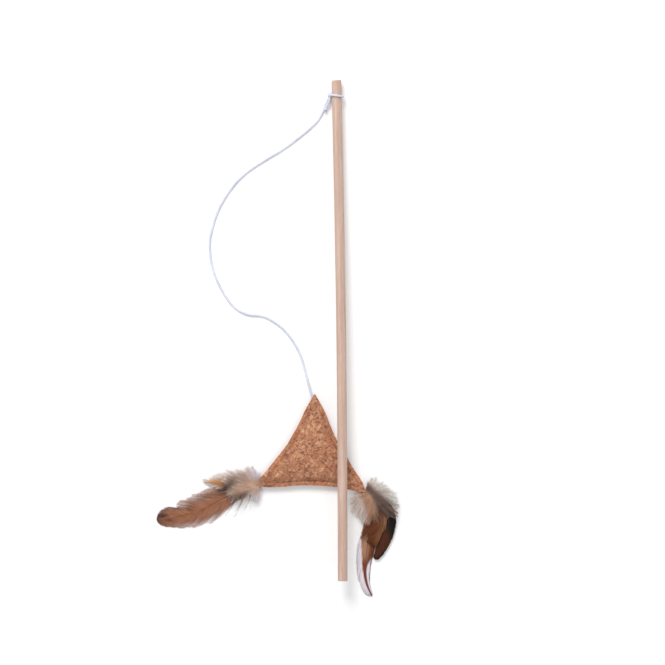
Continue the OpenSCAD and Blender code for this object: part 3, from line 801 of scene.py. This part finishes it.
VANE_T, DOWN_T = 0.8, 3.6
QUILL_LOW, QUILL_HIGH = -0.55, 0.55
PATH_STEPS = 240
SHAFT_RINGS, SHAFT_SIDES = 130, 8
BARB_PITCH, BARB_DROOP, BARB_HALF, BARB_RISE = 0.2, 0.4, 0.24, 0.1
BARB_RINGS, HAIR_RINGS, OUTLINE_STEPS = 11, 9, 1500
HAIR_HALF, HAIR_GAP = 0.075, 0.08
DOWN_LOW, DOWN_TOP = 0.6, 7.2
EDGE_TUFT, STRAY, STRAY_HAIRS = 0, 3, 5


def layer(n):
    """Height of the feathers' layer n, from 0 for the lowest, above the toy's seam."""
    return 1.3 * VANE_T - SEAM_H + n * 1.8 * VANE_T


DOWN_H = layer(2) + 0.8 * VANE_T + DOWN_T / 2
PALE_HORN, DOWN_HORN = "cdb7a2", "b3937a"


def strands(name, centre, half, thick, tint, slot, material, node):
    """One piece from many strands: centre is (strands, rings, 3), half and thick the half
    width and height at each ring, tint a colour at each ring."""
    n, rings, _ = centre.shape
    tangent = np.gradient(centre, axis=1)
    side = unit(np.cross(tangent, np.array([0.0, 0.0, 1.0])))
    up = unit(np.cross(side, tangent))
    points = np.stack([centre - side * half[..., None], centre + side * half[..., None],
                       centre + up * thick[..., None]], 2).reshape(-1, 3)
    base = (np.arange(n) * rings * 3)[:, None]
    faces = (capped(rings, 3).reshape(1, -1) + base).reshape(-1, 3)
    tints = np.repeat(tint.reshape(-1, 3), 3, 0)
    flat = points[:, :2]
    low, size = flat.min(0), np.ptp(flat, axis=0).max()
    return piece(name, points, faces, "toy", slot, material, node, np.clip(tints, 0, 1),
                 0.01 + 0.98 * (flat - low) / size)


class Path:
    """A feather's quill and shaft, as in part.scad. turns are degrees from the pocket's way,
    heights are above the toy's seam, and shares are half widths to the left and right, all by
    the share of the length."""

    def __init__(self, corner, place, length, turns, heights, width=0, shares=()):
        at, out = POCKETS[corner]
        self.length = length + QUILL_IN
        self.heights, self.width, self.shares = heights, width, shares
        self.s = np.linspace(0, self.length, PATH_STEPS + 1)
        middle = (self.s[1:] + self.s[:-1]) / 2 / self.length
        h = math.atan2(out[1], out[0]) + np.radians(column(turns, middle))
        step = np.stack([np.cos(h), np.sin(h)], 1) * self.length / PATH_STEPS
        start = at - QUILL_IN * out + place * 1.4 * QUILL_D * np.array([out[1], -out[0]])
        self.xy = start + np.concatenate([[[0, 0]], np.cumsum(step, axis=0)])
        self.h = np.concatenate([h[:1], h])

    def half(self, s, side):
        """Half width at s on the left (side 1) or the right (side -1) of the shaft."""
        return self.width * column(self.shares, s / self.length, 1 if side > 0 else 2)

    def height(self, s):
        return column(self.heights, np.clip(s / self.length, 0, 1))

    def at(self, s, q):
        """Plan point at run s and distance q to the left of the shaft."""
        h = np.interp(s, self.s, self.h)
        over = np.maximum(s - self.length, 0)
        x = np.interp(s, self.s, self.xy[:, 0]) + over * np.cos(h) - q * np.sin(h)
        y = np.interp(s, self.s, self.xy[:, 1]) + over * np.sin(h) + q * np.cos(h)
        return np.stack([x, y], -1)

    def line(self, s, lift=0.0):
        """Points of the shaft in the frame."""
        return to_frame(self.at(s, 0 * s), self.height(s) + lift)


def shaft(name, path, slot, end_tint, node, reach=0.985, r0=0.5, r1=0.1, lift=0.15):
    """The quill and shaft of a feather, thinning to its tip."""
    s = np.linspace(0.02, path.length * reach, SHAFT_RINGS)
    u = s / s[-1]
    r = r0 + (r1 - r0) * ease(u, 0.05, 1.0) ** 0.6
    shape = tube(path.line(s, lift * ease(u, 0.1, 0.3)), r, SHAFT_SIDES)
    tint = mixed(colour(PALE_HORN), colour(end_tint), ease(u, 0.1, 0.6))
    piece(name, *shape, "toy", slot, QUILL, node, np.repeat(tint, SHAFT_SIDES, 0))


def clumps(count, few, many, r):
    """A clump number for each of count neighbours."""
    sizes = []
    while sum(sizes) < count:
        sizes.append(int(r.integers(few, many + 1)))
    return np.repeat(np.arange(len(sizes)), sizes)[:count], len(sizes)


def outline_tips(path, side, first, close, r):
    """Runs and half widths of barb tips, evenly spaced round one side of a vane."""
    run = np.linspace(first, path.length, OUTLINE_STEPS)
    over = np.clip((run / path.length - close) / (1 - close), 0, 1)
    wide = path.half(np.minimum(run, close * path.length), side) * np.sqrt(1 - over**2)
    length = run_along(np.stack([run, wide], 1))
    count = int(length[-1] / BARB_PITCH)
    at = np.linspace(0, length[-1], count) + r.normal(0, BARB_PITCH / 2, count)
    at = np.clip(at, 0, length[-1])
    return np.interp(at, length, run), np.interp(at, length, wide)


def barbs(path, r, seed, side, inner, first, part, close=0.93, lean=1.25, tip_run=4.0, few=7,
          many=22, ragged=0.06, notches=()):
    """Centrelines, half widths and shading data of the barbs on one side of a vane."""
    t = np.linspace(0, 1, BARB_RINGS)[None, :]
    tip, width = outline_tips(path, side, first + 1.0, close, r)
    count = len(tip)
    group, groups = clumps(count, few, many, r)
    share = tip / path.length
    least, more, near, far = part
    apart = least + more * ease(1 - share, near, far)
    reach = np.minimum(lean * width + tip_run, tip - first + 1.5)
    for where, at, depth, wide in notches:
        if where == side:
            width = width * (1 - depth * np.exp(-((share - at) / wide) ** 2))
    if inner:
        apart, width = apart * 0.3, width * (0.9 - 0.36 * apart)
    own = r.normal(0, 1, groups)[group]
    ends = np.array([tip[group == g].mean() for g in range(groups)])[group]
    width = width * (1 + ragged * own * (0.25 + apart) + 0.03 * r.normal(0, 1, count))
    drawing = apart * r.uniform(0.3, 1.0, groups)[group]
    run_on = ragged * 9 * r.normal(0, 1, groups)[group] * apart
    end = tip[:, None] + ((ends - tip) * drawing + run_on)[:, None] * t**3
    root = (tip - reach)[:, None]
    q = side * width[:, None] * (1 - (1 - t) ** 1.45)
    s = root + (end - root) * t**1.12
    q = q + 0.12 * ripple(np.stack([s, q], -1), 9, seed + 5) * t
    z = (path.height(s) - BARB_DROOP * t**2 - (0.16 if inner else 0)
         + (0.14 * (own * apart)[:, None] + 0.05 * r.normal(0, 1, (count, 1))) * t)
    thin = BARB_HALF * (1 - 0.4 * apart[:, None] * t) * (1 - 0.72 * t**3) * np.ones((count, 1))
    # Barbs at the borders of the clumps, which are later darkened with painted shade
    border = np.concatenate([[1], np.diff(group)]) + np.concatenate([np.diff(group), [1]])
    return (to_frame(path.at(s, q), z), thin, s / path.length, q / path.width, t + 0 * s,
            (0.5 * r.normal(0, 1, count) + 0.6 * own)[:, None] + 0 * s,
            (border > 0)[:, None] * ease(t, 0.1, 0.5) * (1 - 0.85 * ease(t, 0.65, 0.9)))


def vane(name, path, seed, start, tint, slot, node, lines=0.22, **ways):
    """Barbs on both sides of a shaft, in a closed lower layer and an upper one whose clumps
    draw together at their tips. part says how far: at the feather's tip, how much more below
    it, and between which shares of the length from the tip. notches are (side, share, depth,
    width) gaps in the edge, and the borders of the clumps are darkened with painted shade."""
    r = np.random.default_rng(seed)
    made = [barbs(path, r, seed, side, inner, path.length * start, **ways)
            for side in (1, -1) for inner in (True, False)]
    line, thin, share, q, t, rand, border = (np.concatenate(x) for x in zip(*made))
    # Painted shade between the clumps: the barbs at their borders are darkened
    shade = tint(line, share, q, t, rand) * (1 - lines * border)[..., None]
    strands(name, line, thin, BARB_RISE * thin / BARB_HALF, shade, slot, BARBS, node)


def within(points, outline):
    """True for the points inside a closed outline."""
    hit = np.zeros(len(points), bool)
    for (x0, y0), (x1, y1) in zip(outline, np.roll(outline, -1, 0)):
        crossed = (y0 > points[:, 1]) != (y1 > points[:, 1])
        x = x0 + (points[:, 1] - y0) * (x1 - x0) / np.where(y1 == y0, 1e-9, y1 - y0)
        hit ^= crossed & (points[:, 0] < x)
    return hit


def plume(name, path, seed, first, outline, tint, node, strays, edge_pitch=1.6, fill=50, size=24,
          loose=200, lean=1.1, back=(3, 8), spread=0.4):
    """Down: fine hairs that leave the quill in tufts. The tufts' tips are spread along an
    outline in the frame and over its inside. Loose hairs lie between them, and strays are
    single long ones, with their tips given."""
    r = np.random.default_rng(seed)
    outline = np.array(outline, float)
    closed = np.concatenate([outline, outline[:1]])
    run = run_along(closed)
    at = np.arange(0, run[-1], edge_pitch)
    at = at + r.normal(0, edge_pitch * 0.3, len(at))
    edge = np.stack([np.interp(at, run, closed[:, k], period=run[-1]) for k in (0, 1)], 1)
    middle = outline.mean(0)
    edge = edge + unit(edge - middle) * r.normal(-0.2, 0.9, (len(edge), 1))
    inner = r.uniform(outline.min(0), outline.max(0), (fill * 6, 2))
    inner = inner[within(inner, outline)][:fill]
    single = r.uniform(outline.min(0), outline.max(0), (loose * 6, 2))
    single = single[within(single, (outline - middle) * 1.06 + middle)][:loose]
    tips = np.concatenate([edge, inner, single, strays])
    kind = np.repeat(np.arange(4), [len(edge), len(inner), len(single), len(strays)])
    group = np.repeat(np.arange(len(tips)), np.array([size, size, 1, STRAY_HAIRS])[kind])
    n, t = len(group), np.linspace(0, 1, HAIR_RINGS)[None, :, None]
    spine = path.line(path.s)
    start = np.searchsorted(path.s, first * path.length)
    near = np.argmin(np.linalg.norm(tips[:, None] - spine[None, start:, :2], axis=2), 1) + start
    away = np.linalg.norm(tips - spine[near, :2], axis=1)
    root_s = path.s[near][group] - lean * away[group] * r.uniform(0.8, 1.2, n)
    root_s = root_s - r.uniform(*back, n)
    root_s = np.clip(root_s, first * path.length * r.uniform(0.9, 1.9, n), path.length * 0.85)
    root = path.line(root_s) + r.normal(0, 0.35, (n, 3)) * [1, 1, 0.5]
    outward = np.concatenate([unit(tips - spine[near, :2]), np.zeros((len(tips), 1))], 1)[group]
    lift = r.uniform(0, 1, len(tips))
    tip_z = FLOOR_Z + np.where(kind == EDGE_TUFT, DOWN_LOW + (DOWN_TOP - DOWN_LOW) * 0.7 * lift,
                               DOWN_TOP - 2.4 * lift)
    tip = np.concatenate([tips, tip_z[:, None]], 1)[group]
    tip = tip + r.normal(0, 1, (n, 3)) * np.array([spread, spread, 0.2, 0.12])[kind[group], None]
    gap = np.linalg.norm(tip - root, axis=1, keepdims=True)
    own_bend = r.normal(0.07, 0.11, len(tips))[group][:, None]
    bend = (root + tip) / 2 + outward * gap * own_bend + r.normal(0, 0.45, (n, 3)) * [1, 1, 0.8]
    bend[:, 2] += 0.6
    line = (1 - t) ** 2 * root[:, None] + 2 * t * (1 - t) * bend[:, None] + t**2 * tip[:, None]
    noisy = line + group[:, None, None] * 0.7
    shake = np.stack([ripple(noisy, 7, seed + k) for k in (1, 2, 3)], -1)
    line = line + shake * t * [0.45, 0.45, 0.3]
    line[..., 2] = np.maximum(line[..., 2], FLOOR_Z + HAIR_GAP)
    t = t[..., 0] + 0 * line[..., 0]
    thin = HAIR_HALF * (1 - 0.65 * t) * r.uniform(0.7, 1.3, (n, 1))
    rand = 0.45 * r.normal(0, 1, (n, 1)) + r.normal(0, 1, len(tips))[group][:, None] + 0 * t
    shade = tint(line, kind[group][:, None] + 0 * t, t, rand)
    strands(name, line, thin, thin * 1.5, shade, "down", DOWN, node)


def feather(name, path, slot, end_tint, seed, start, tint, shaft_r=0.5, **ways):
    """A feather's shaft and vane, in place of its solid."""
    shaft(name + "_shaft", path, slot, end_tint, name + "_feather", r0=shaft_r)
    vane(name + "_vane", path, seed, start, tint, slot, name + "_feather", **ways)


def down(name, path, seed, first, outline, tint, **ways):
    """A plume's shaft and hair, in place of its solid."""
    shaft(name + "_shaft", path, "down", DOWN_HORN, name, reach=0.7, r0=0.34, r1=0.08, lift=-0.2)
    plume(name + "_hair", path, seed, first, outline, tint, name, **ways)


# Colours. A tint gets each ring's place in the frame and its share t along the barb or hair.
# For a vane, s is the share of the feather's length and q that of its half width

def spot(line, x, y, rx, ry, turn):
    """A soft spot from 0 to 1 round a place in the frame, in millimetres."""
    a = math.radians(turn)
    dx, dy = line[..., 0] - x, line[..., 1] - y
    u, v = dx * math.cos(a) + dy * math.sin(a), -dx * math.sin(a) + dy * math.cos(a)
    return np.exp(-((u / rx) ** 2 + (v / ry) ** 2))


def varied(c, rand, amount):
    return c * (1 + amount * np.clip(rand, -2.5, 2.5))[..., None]


def coats(c, *layers):
    """A colour with (hexadecimal colour, share) coats laid over it in turn."""
    c = colour(c) if isinstance(c, str) else c
    for text, share in layers:
        c = mixed(c, colour(text), share)
    return c


# Grey patches near the base of the left feathers: place, radii, turn and depth
LEFT_MARKS = ((-95.4, 76.2, 7.2, 4.0, 40, 1.0), (-90.4, 81.8, 3.6, 2.5, 50, 0.6),
              (-85.2, 69.2, 8.0, 3.1, 22, 0.82), (-99.5, 74, 3.4, 2.4, 30, 0.5))


def left_marks(line, c, strength=1.0):
    return coats(c, *(("644432", strength * depth * spot(line, *where))
                      for *where, depth in LEFT_MARKS))


def left_long_tint(line, s, q, t, rand):
    """Brown with pale margins and a dark rounded tip."""
    c = coats(
        "9a6548", ("a27561", ease(np.abs(q), 0.1, 0.6)),
        ("e0c8c2", ease(t, 0.5, 0.9) * ease(1 - s, 0.08, 0.3) * 0.9),
        ("b59c90", ease(1 - s, 0.62, 0.85) * 0.7),
        ("6f4837", 0.6 * ease(rand, 0.6, 1.5) * ease(t, 0.2, 0.6)),
        ("c69a7e", 0.6 * ease(-rand, 0.6, 1.5) * ease(t, 0.1, 0.4)),
        ("72574f", 0.8 * ease(s, 0.88, 0.99) * ease(-q, -0.35, 0.1)),
        ("6b452f", 0.6 * ease(s, 0.9, 1.0)),
        ("2f2422", 0.8 * spot(line, -146.8, 54.2, 4.6, 1.2, 12)
         + 0.7 * spot(line, -142.0, 50.8, 4.2, 1.3, -12)),
        ("4a3228", 0.75 * spot(line, -135.6, 60.3, 5.0, 1.0, -8)))
    return varied(left_marks(line, c), rand, 0.12)


def left_short_tint(line, s, q, t, rand):
    """An orange core between pale margins."""
    core = t + 0.16 * rand + 0.35 * ease(s, 0.78, 1.0)
    c = coats(
        "bd865b", ("dabda9", ease(core, 0.2, 0.72)),
        ("96684c", 0.65 * ease(rand, 0.2, 1.1) * ease(t, 0.05, 0.3)),
        ("eee0d8", ease(t, 0.4, 0.9) * 0.9),
        ("c9b1a4", ease(1 - s, 0.4, 0.75)))
    return varied(left_marks(line, c), rand, 0.1)


def left_down_tint(line, kind, t, rand):
    """Pale pink and beige, with grey near the feathers and darker strays at the left."""
    x, y = line[..., 0], line[..., 1]
    c = coats(
        "e9c5ae", ("fbede5", ease(t, 0.3, 0.95)),
        ("f6d5bb", 0.8 * spot(line, -77, 76.6, 9, 4, 22)),
        ("b29283", 0.6 * spot(line, -85, 84.6, 8.5, 4.6, 18) * (1 - 0.7 * t)),
        ("f7ecf2", 0.85 * ease(x, -80, -72) * ease(np.abs(y - 78), 3, 9)),
        ("9a7867", 0.4 * ease(rand, 0.9, 1.7) * ease(-x, 74, 80)))
    stray = np.where(line[:, -1:, :1] < -79, colour("86695b"), colour("f4eeeb"))
    c = mixed(c, stray, 0.9 * (kind == STRAY))
    return varied(left_marks(line, c, 0.88), rand, 0.1)


LEFT_LONG = Path(
    "l", -0.5, 88,
    [(0.07, 0), (0.14, -6), (0.35, -2), (0.52, 0), (0.66, -10), (0.8, -15), (1, -26)],
    [(0.07, QUILL_LOW), (0.14, layer(0))], 15,
    [(0.1, 0, 0), (0.2, 0.3, 0.5), (0.32, 0.38, 0.8), (0.42, 0.54, 0.92), (0.54, 0.76, 0.96),
     (0.67, 0.75, 0.9), (0.8, 0.64, 0.76), (0.93, 0.38, 0.55), (1, 0.1, 0.15)])
LEFT_SHORT = Path(
    "l", 0.5, 43.5, [(0.12, 0), (0.2, -28), (1, -33)], [(0.2, QUILL_LOW), (0.45, layer(1))], 11,
    [(0.16, 0, 0), (0.25, 0.5, 0.82), (0.37, 0.58, 0.96), (0.52, 0.64, 0.98), (0.62, 0.6, 0.86),
     (0.74, 0.5, 0.7), (0.83, 0.4, 0.54), (1, 0.1, 0.15)])
LEFT_DOWN = Path("l", 0, 30, [(0.17, 0), (0.3, -6), (1, -10)],
                 [(0.17, QUILL_HIGH), (0.22, DOWN_H), (1, DOWN_H - 1.4)])

feather("left_long", LEFT_LONG, "brown_feather", "99603c", 101, 0.17, left_long_tint, lean=1.45,
        close=0.9, part=(0.1, 0.68, 0.1, 0.35), ragged=0.07, lines=0.28, few=4, many=14,
        notches=[(-1, 0.84, 0.75, 0.024), (1, 0.63, 0.16, 0.015), (1, 0.75, 0.12, 0.012)])
feather("left_short", LEFT_SHORT, "brown_feather", "bb855a", 102, 0.24, left_short_tint,
        shaft_r=0.45, part=(0.95, 0, 0, 1), few=10, many=24, ragged=0.12, close=0.9)
down("left_down", LEFT_DOWN, 103, 0.14,
     [(-66, 82), (-66.6, 88.4), (-71.7, 92), (-74.3, 95), (-78.6, 93.4), (-81.5, 92.2),
      (-86.7, 90.4), (-90.7, 89.8), (-95.3, 88.4), (-100, 86.4), (-97, 84.2), (-98.6, 82),
      (-94, 80), (-96.6, 77.6), (-92.6, 75.6), (-95, 71), (-91, 65.4), (-86, 65.5), (-78.6, 67),
      (-73, 65), (-69.5, 64.6), (-66, 72), (-65, 78)], left_down_tint,
     strays=[(-95.7, 53.5), (-88.6, 52.7), (-86.5, 57.6), (-80, 58.5), (-75.8, 57.5), (-72, 61),
             (-91, 60), (-84, 61), (-78.2, 95.6)], lean=0.6, back=(1, 5))


# The white feather's stripe: its half widths to the left and right of the shaft
STRIPE = [(0.5, 1.1, 0.75), (0.565, 1.1, 0.67), (0.62, 1.0, 0.51), (0.66, 0.62, 0.45),
          (0.7, 0.3, 0.42), (0.745, 0.15, 0.34), (0.79, 0.13, 0.26), (0.84, 0.11, 0.21),
          (0.9, 0.1, 0.16), (0.965, 0.07, 0.1), (1, 0.05, 0.08)]


def right_white_tint(line, s, q, t, rand):
    """White with a brown stripe that narrows to the tip, and a thin brown line on its left
    edge."""
    wide = np.where(q > 0, column(STRIPE, s, 1), column(STRIPE, s, 2))
    in_stripe = ease(wide - np.abs(q), -0.05, 0.05)
    outer = ease(t, 0.82, 0.93) * (q > 0.1)
    outer = outer * ease(s, 0.6, 0.66) * ease(0.9 - s, 0, 0.05)
    return varied(coats(
        "e6dde5", ("713d26", in_stripe),
        ("a87c61", in_stripe * ease(0.72 - s, 0, 0.12) * ease(0.5 - q, 0, 0.6)),
        ("5d3627", 0.9 * outer),
        ("b39a88", ease(0.42 - s, 0, 0.2))), rand, 0.04)


def right_dark_tint(line, s, q, t, rand):
    """Nearly black, with a brown end and a black left edge to it."""
    return varied(coats(
        "0d0704", ("4b230e", ease(s - 0.14 * q, 0.57, 0.72)),
        ("8d7f7a", ease(0.42 - s, 0, 0.2) * 0.8),
        ("120c0b", ease(q, 0.15, 0.45) * ease(s, 0.8, 0.95) * 0.9)), rand, 0.12)


def right_brown_tint(line, s, q, t, rand):
    """Brown, lighter on its left side and towards its base."""
    return varied(coats(
        "754728", ("65361b", ease(-q, 0.1, 0.5)),
        ("8a6247", ease(q, -0.04, 0.02) * ease(s, 0.5, 0.6) * 0.6),
        ("8a5c3c", 0.5 * ease(rand, 0.7, 1.6) * ease(t, 0.1, 0.5)),
        ("a0754f", ease(0.5 - s, 0, 0.2)),
        ("c2a083", ease(0.38 - s, 0, 0.15)),
        ("b99c88", ease(t, 0.8, 1.0) * 0.5 * ease(0.8 - s, 0, 0.2))), rand, 0.12)


def right_down_tint(line, kind, t, rand):
    """Beige below the corner, white to its left, and grey with dark streaks to its right."""
    east = line[..., 0] - 26 + 9 * ((line[..., 1] - 50) / 23) ** 2
    grey = ease(east, 2, 6)
    above = (line[..., 1] + 0.91 * line[..., 0] - 95.8) / 1.35
    dark = ease(rand, -0.4, 0.8) * grey * ease(above, 2.5, -1)
    return varied(coats(
        "deb496", ("a88d80", grey),
        ("f9e4da", ease(-east, 3, 7)),
        ("87634c", 0.6 * spot(line, 27, 51, 5, 6, -20)),
        ("4f3f38", 0.68 * dark),
        ("f8efe9", 0.9 * ease(above, 0.5, 5) * grey),
        ("c9bab2", 0.4 * ease(-rand, 0.6, 1.3) * grey * ease(t, 0.2, 0.8)),
        ("f0eaea", 0.8 * (kind == STRAY))), rand, 0.15)


RIGHT_WHITE = Path(
    "r", 1, 87,
    [(0.07, 0), (0.12, -40), (0.2, -56), (0.35, -60), (0.5, -63), (0.62, -63), (0.72, -60),
     (0.82, -50), (0.93, -35), (1, -28)],
    [(0.07, QUILL_LOW), (0.13, layer(0))], 7,
    [(0.1, 0, 0), (0.2, 0.5, 0.5), (0.36, 0.9, 0.65), (0.455, 0.95, 0.76), (0.53, 0.92, 1.04),
     (0.6, 0.88, 1.1), (0.66, 0.72, 1.06), (0.74, 0.56, 0.98), (0.82, 0.5, 0.88),
     (0.865, 0.35, 0.82), (0.915, 0.25, 0.76), (0.96, 0.18, 0.6), (1, 0.15, 0.3)])
RIGHT_DARK = Path(
    "r", -1, 67,
    [(0, 0), (0.13, -1), (0.23, -6), (0.35, -22), (0.46, -42), (0.56, -62), (0.69, -73),
     (0.82, -82), (1, -91)],
    [(0.09, QUILL_LOW), (0.17, layer(1))], 8,
    [(0.14, 0, 0), (0.3, 0.5, 0.5), (0.45, 0.7, 0.75), (0.6, 0.72, 0.8), (0.75, 0.62, 0.75),
     (0.88, 0.52, 0.55), (0.97, 0.36, 0.3), (1, 0.1, 0.1)])
RIGHT_BROWN = Path(
    "r", 0, 52,
    [(0.1, 0), (0.21, -8), (0.36, -20), (0.53, -46), (0.64, -66), (0.8, -75), (0.93, -78),
     (1, -80)],
    [(0.11, QUILL_LOW), (0.2, layer(2))], 9.5,
    [(0.15, 0, 0), (0.25, 0.3, 0.5), (0.45, 0.38, 0.85), (0.6, 0.3, 1.2), (0.75, 0.2, 1.45),
     (0.88, 0.1, 1.5), (1, 0.05, 1.25)])
RIGHT_DOWN = Path("r", 0, 34, [(0.18, 0), (0.3, -30), (0.5, -48), (1, -60)],
                  [(0.17, QUILL_HIGH), (0.22, DOWN_H)])

feather("right_white", RIGHT_WHITE, "white_feather", "6b3a25", 201, 0.2, right_white_tint,
        lean=2.2, part=(0.1, 0.6, 0.5, 0.8), ragged=0.03, tip_run=6, lines=0.1,
        notches=[(-1, 0.87, 0.14, 0.01)])
feather("right_dark", RIGHT_DARK, "dark_feather", "321a10", 202, 0.25, right_dark_tint,
        lean=1.6, part=(0.2, 0.7, 0.4, 0.7), ragged=0.05, close=0.95)
feather("right_brown", RIGHT_BROWN, "brown_feather", "64381e", 203, 0.22, right_brown_tint,
        shaft_r=0.42, lean=1.3, part=(0.85, 0, 0, 1), ragged=0.12, close=0.975)
down("right_down", RIGHT_DOWN, 204, 0.16,
     [(20, 74), (22.5, 80), (25.7, 83.8), (28.6, 82.4), (33.7, 78.9), (36.2, 76.7), (41.7, 73.3),
      (46, 70.4), (44.5, 66.3), (45.6, 61.2), (46, 53), (43, 49), (39, 51), (35, 49), (30, 46.5),
      (26, 46), (21, 44), (16.5, 45.8), (13.6, 48.5), (9.6, 52.2), (8.6, 57.7), (6.5, 61),
      (8.8, 66.8), (13, 70.5)], right_down_tint, strays=[(5.7, 61), (7.6, 56)],
     edge_pitch=1.5, fill=64, size=20, loose=320, spread=0.45)


# The floor, the lamps and the plain white surroundings, in metres

FLOOR_REACH = 6.0
FLOOR_GREY, FLOOR_GLOW = 0.9, 0.12
LAMP_AIM = (0, 0.2, 0)
LAMPS = (("key", (-0.6, 1.8, 1.7), 1.2, 39), ("fill", (1.3, -0.7, 1.9), 1.8, 5))
WORLD_LIGHT, WORLD_WHITE = 0.6, 1.0


def floor():
    """A paper floor that keeps the shadow and looks white to the camera."""
    mesh = bpy.data.meshes.new("floor")
    mesh.from_pydata([(x * FLOOR_REACH, y * FLOOR_REACH, FLOOR_Z * MM) for x, y in
                      ((-1, -1), (1, -1), (1, 1), (-1, 1))], [], [(0, 1, 2, 3)])
    g = Graph("floor_paper", 0.9, Specular_IOR_Level=0.0, Base_Color=rgba(FLOOR_GREY),
              Emission_Color=rgba(1.0))
    seen = g.add("ShaderNodeLightPath", out="Is Camera Ray")
    g.put(g.shader.inputs["Emission Strength"], g.math("MULTIPLY", seen, FLOOR_GLOW))
    mesh.materials.append(g.material)
    placed("floor", mesh)


def lamp(name, place, size, power):
    """A round lamp that faces the middle of the wand."""
    data = bpy.data.lights.new(name, "AREA")
    data.shape = "DISK"
    data.size = size
    data.energy = power
    o = placed(name, data)
    o.location = place
    d = np.array(LAMP_AIM) - np.array(place)
    o.rotation_euler = (math.atan2(math.hypot(d[0], d[1]), -d[2]), 0, math.atan2(-d[0], d[1]))


floor()
for row in LAMPS:
    lamp(*row)

world = bpy.data.worlds.new("surroundings")
bpy.context.scene.world = world
sky = Nodes(world)
rays = sky.node("ShaderNodeLightPath").outputs
seen = sky.math("MAXIMUM", rays["Is Camera Ray"], rays["Is Glossy Ray"])
seen = sky.math("MAXIMUM", seen, rays["Is Transmission Ray"])
level = sky.add("ShaderNodeMapRange", {"Value": seen, "To Min": WORLD_LIGHT,
                                       "To Max": WORLD_WHITE}, "Result")
background = sky.tree.nodes["Background"]
sky.put(background.inputs["Color"], rgba(1.0))
sky.put(background.inputs["Strength"], level)

bpy.context.view_layer.update()
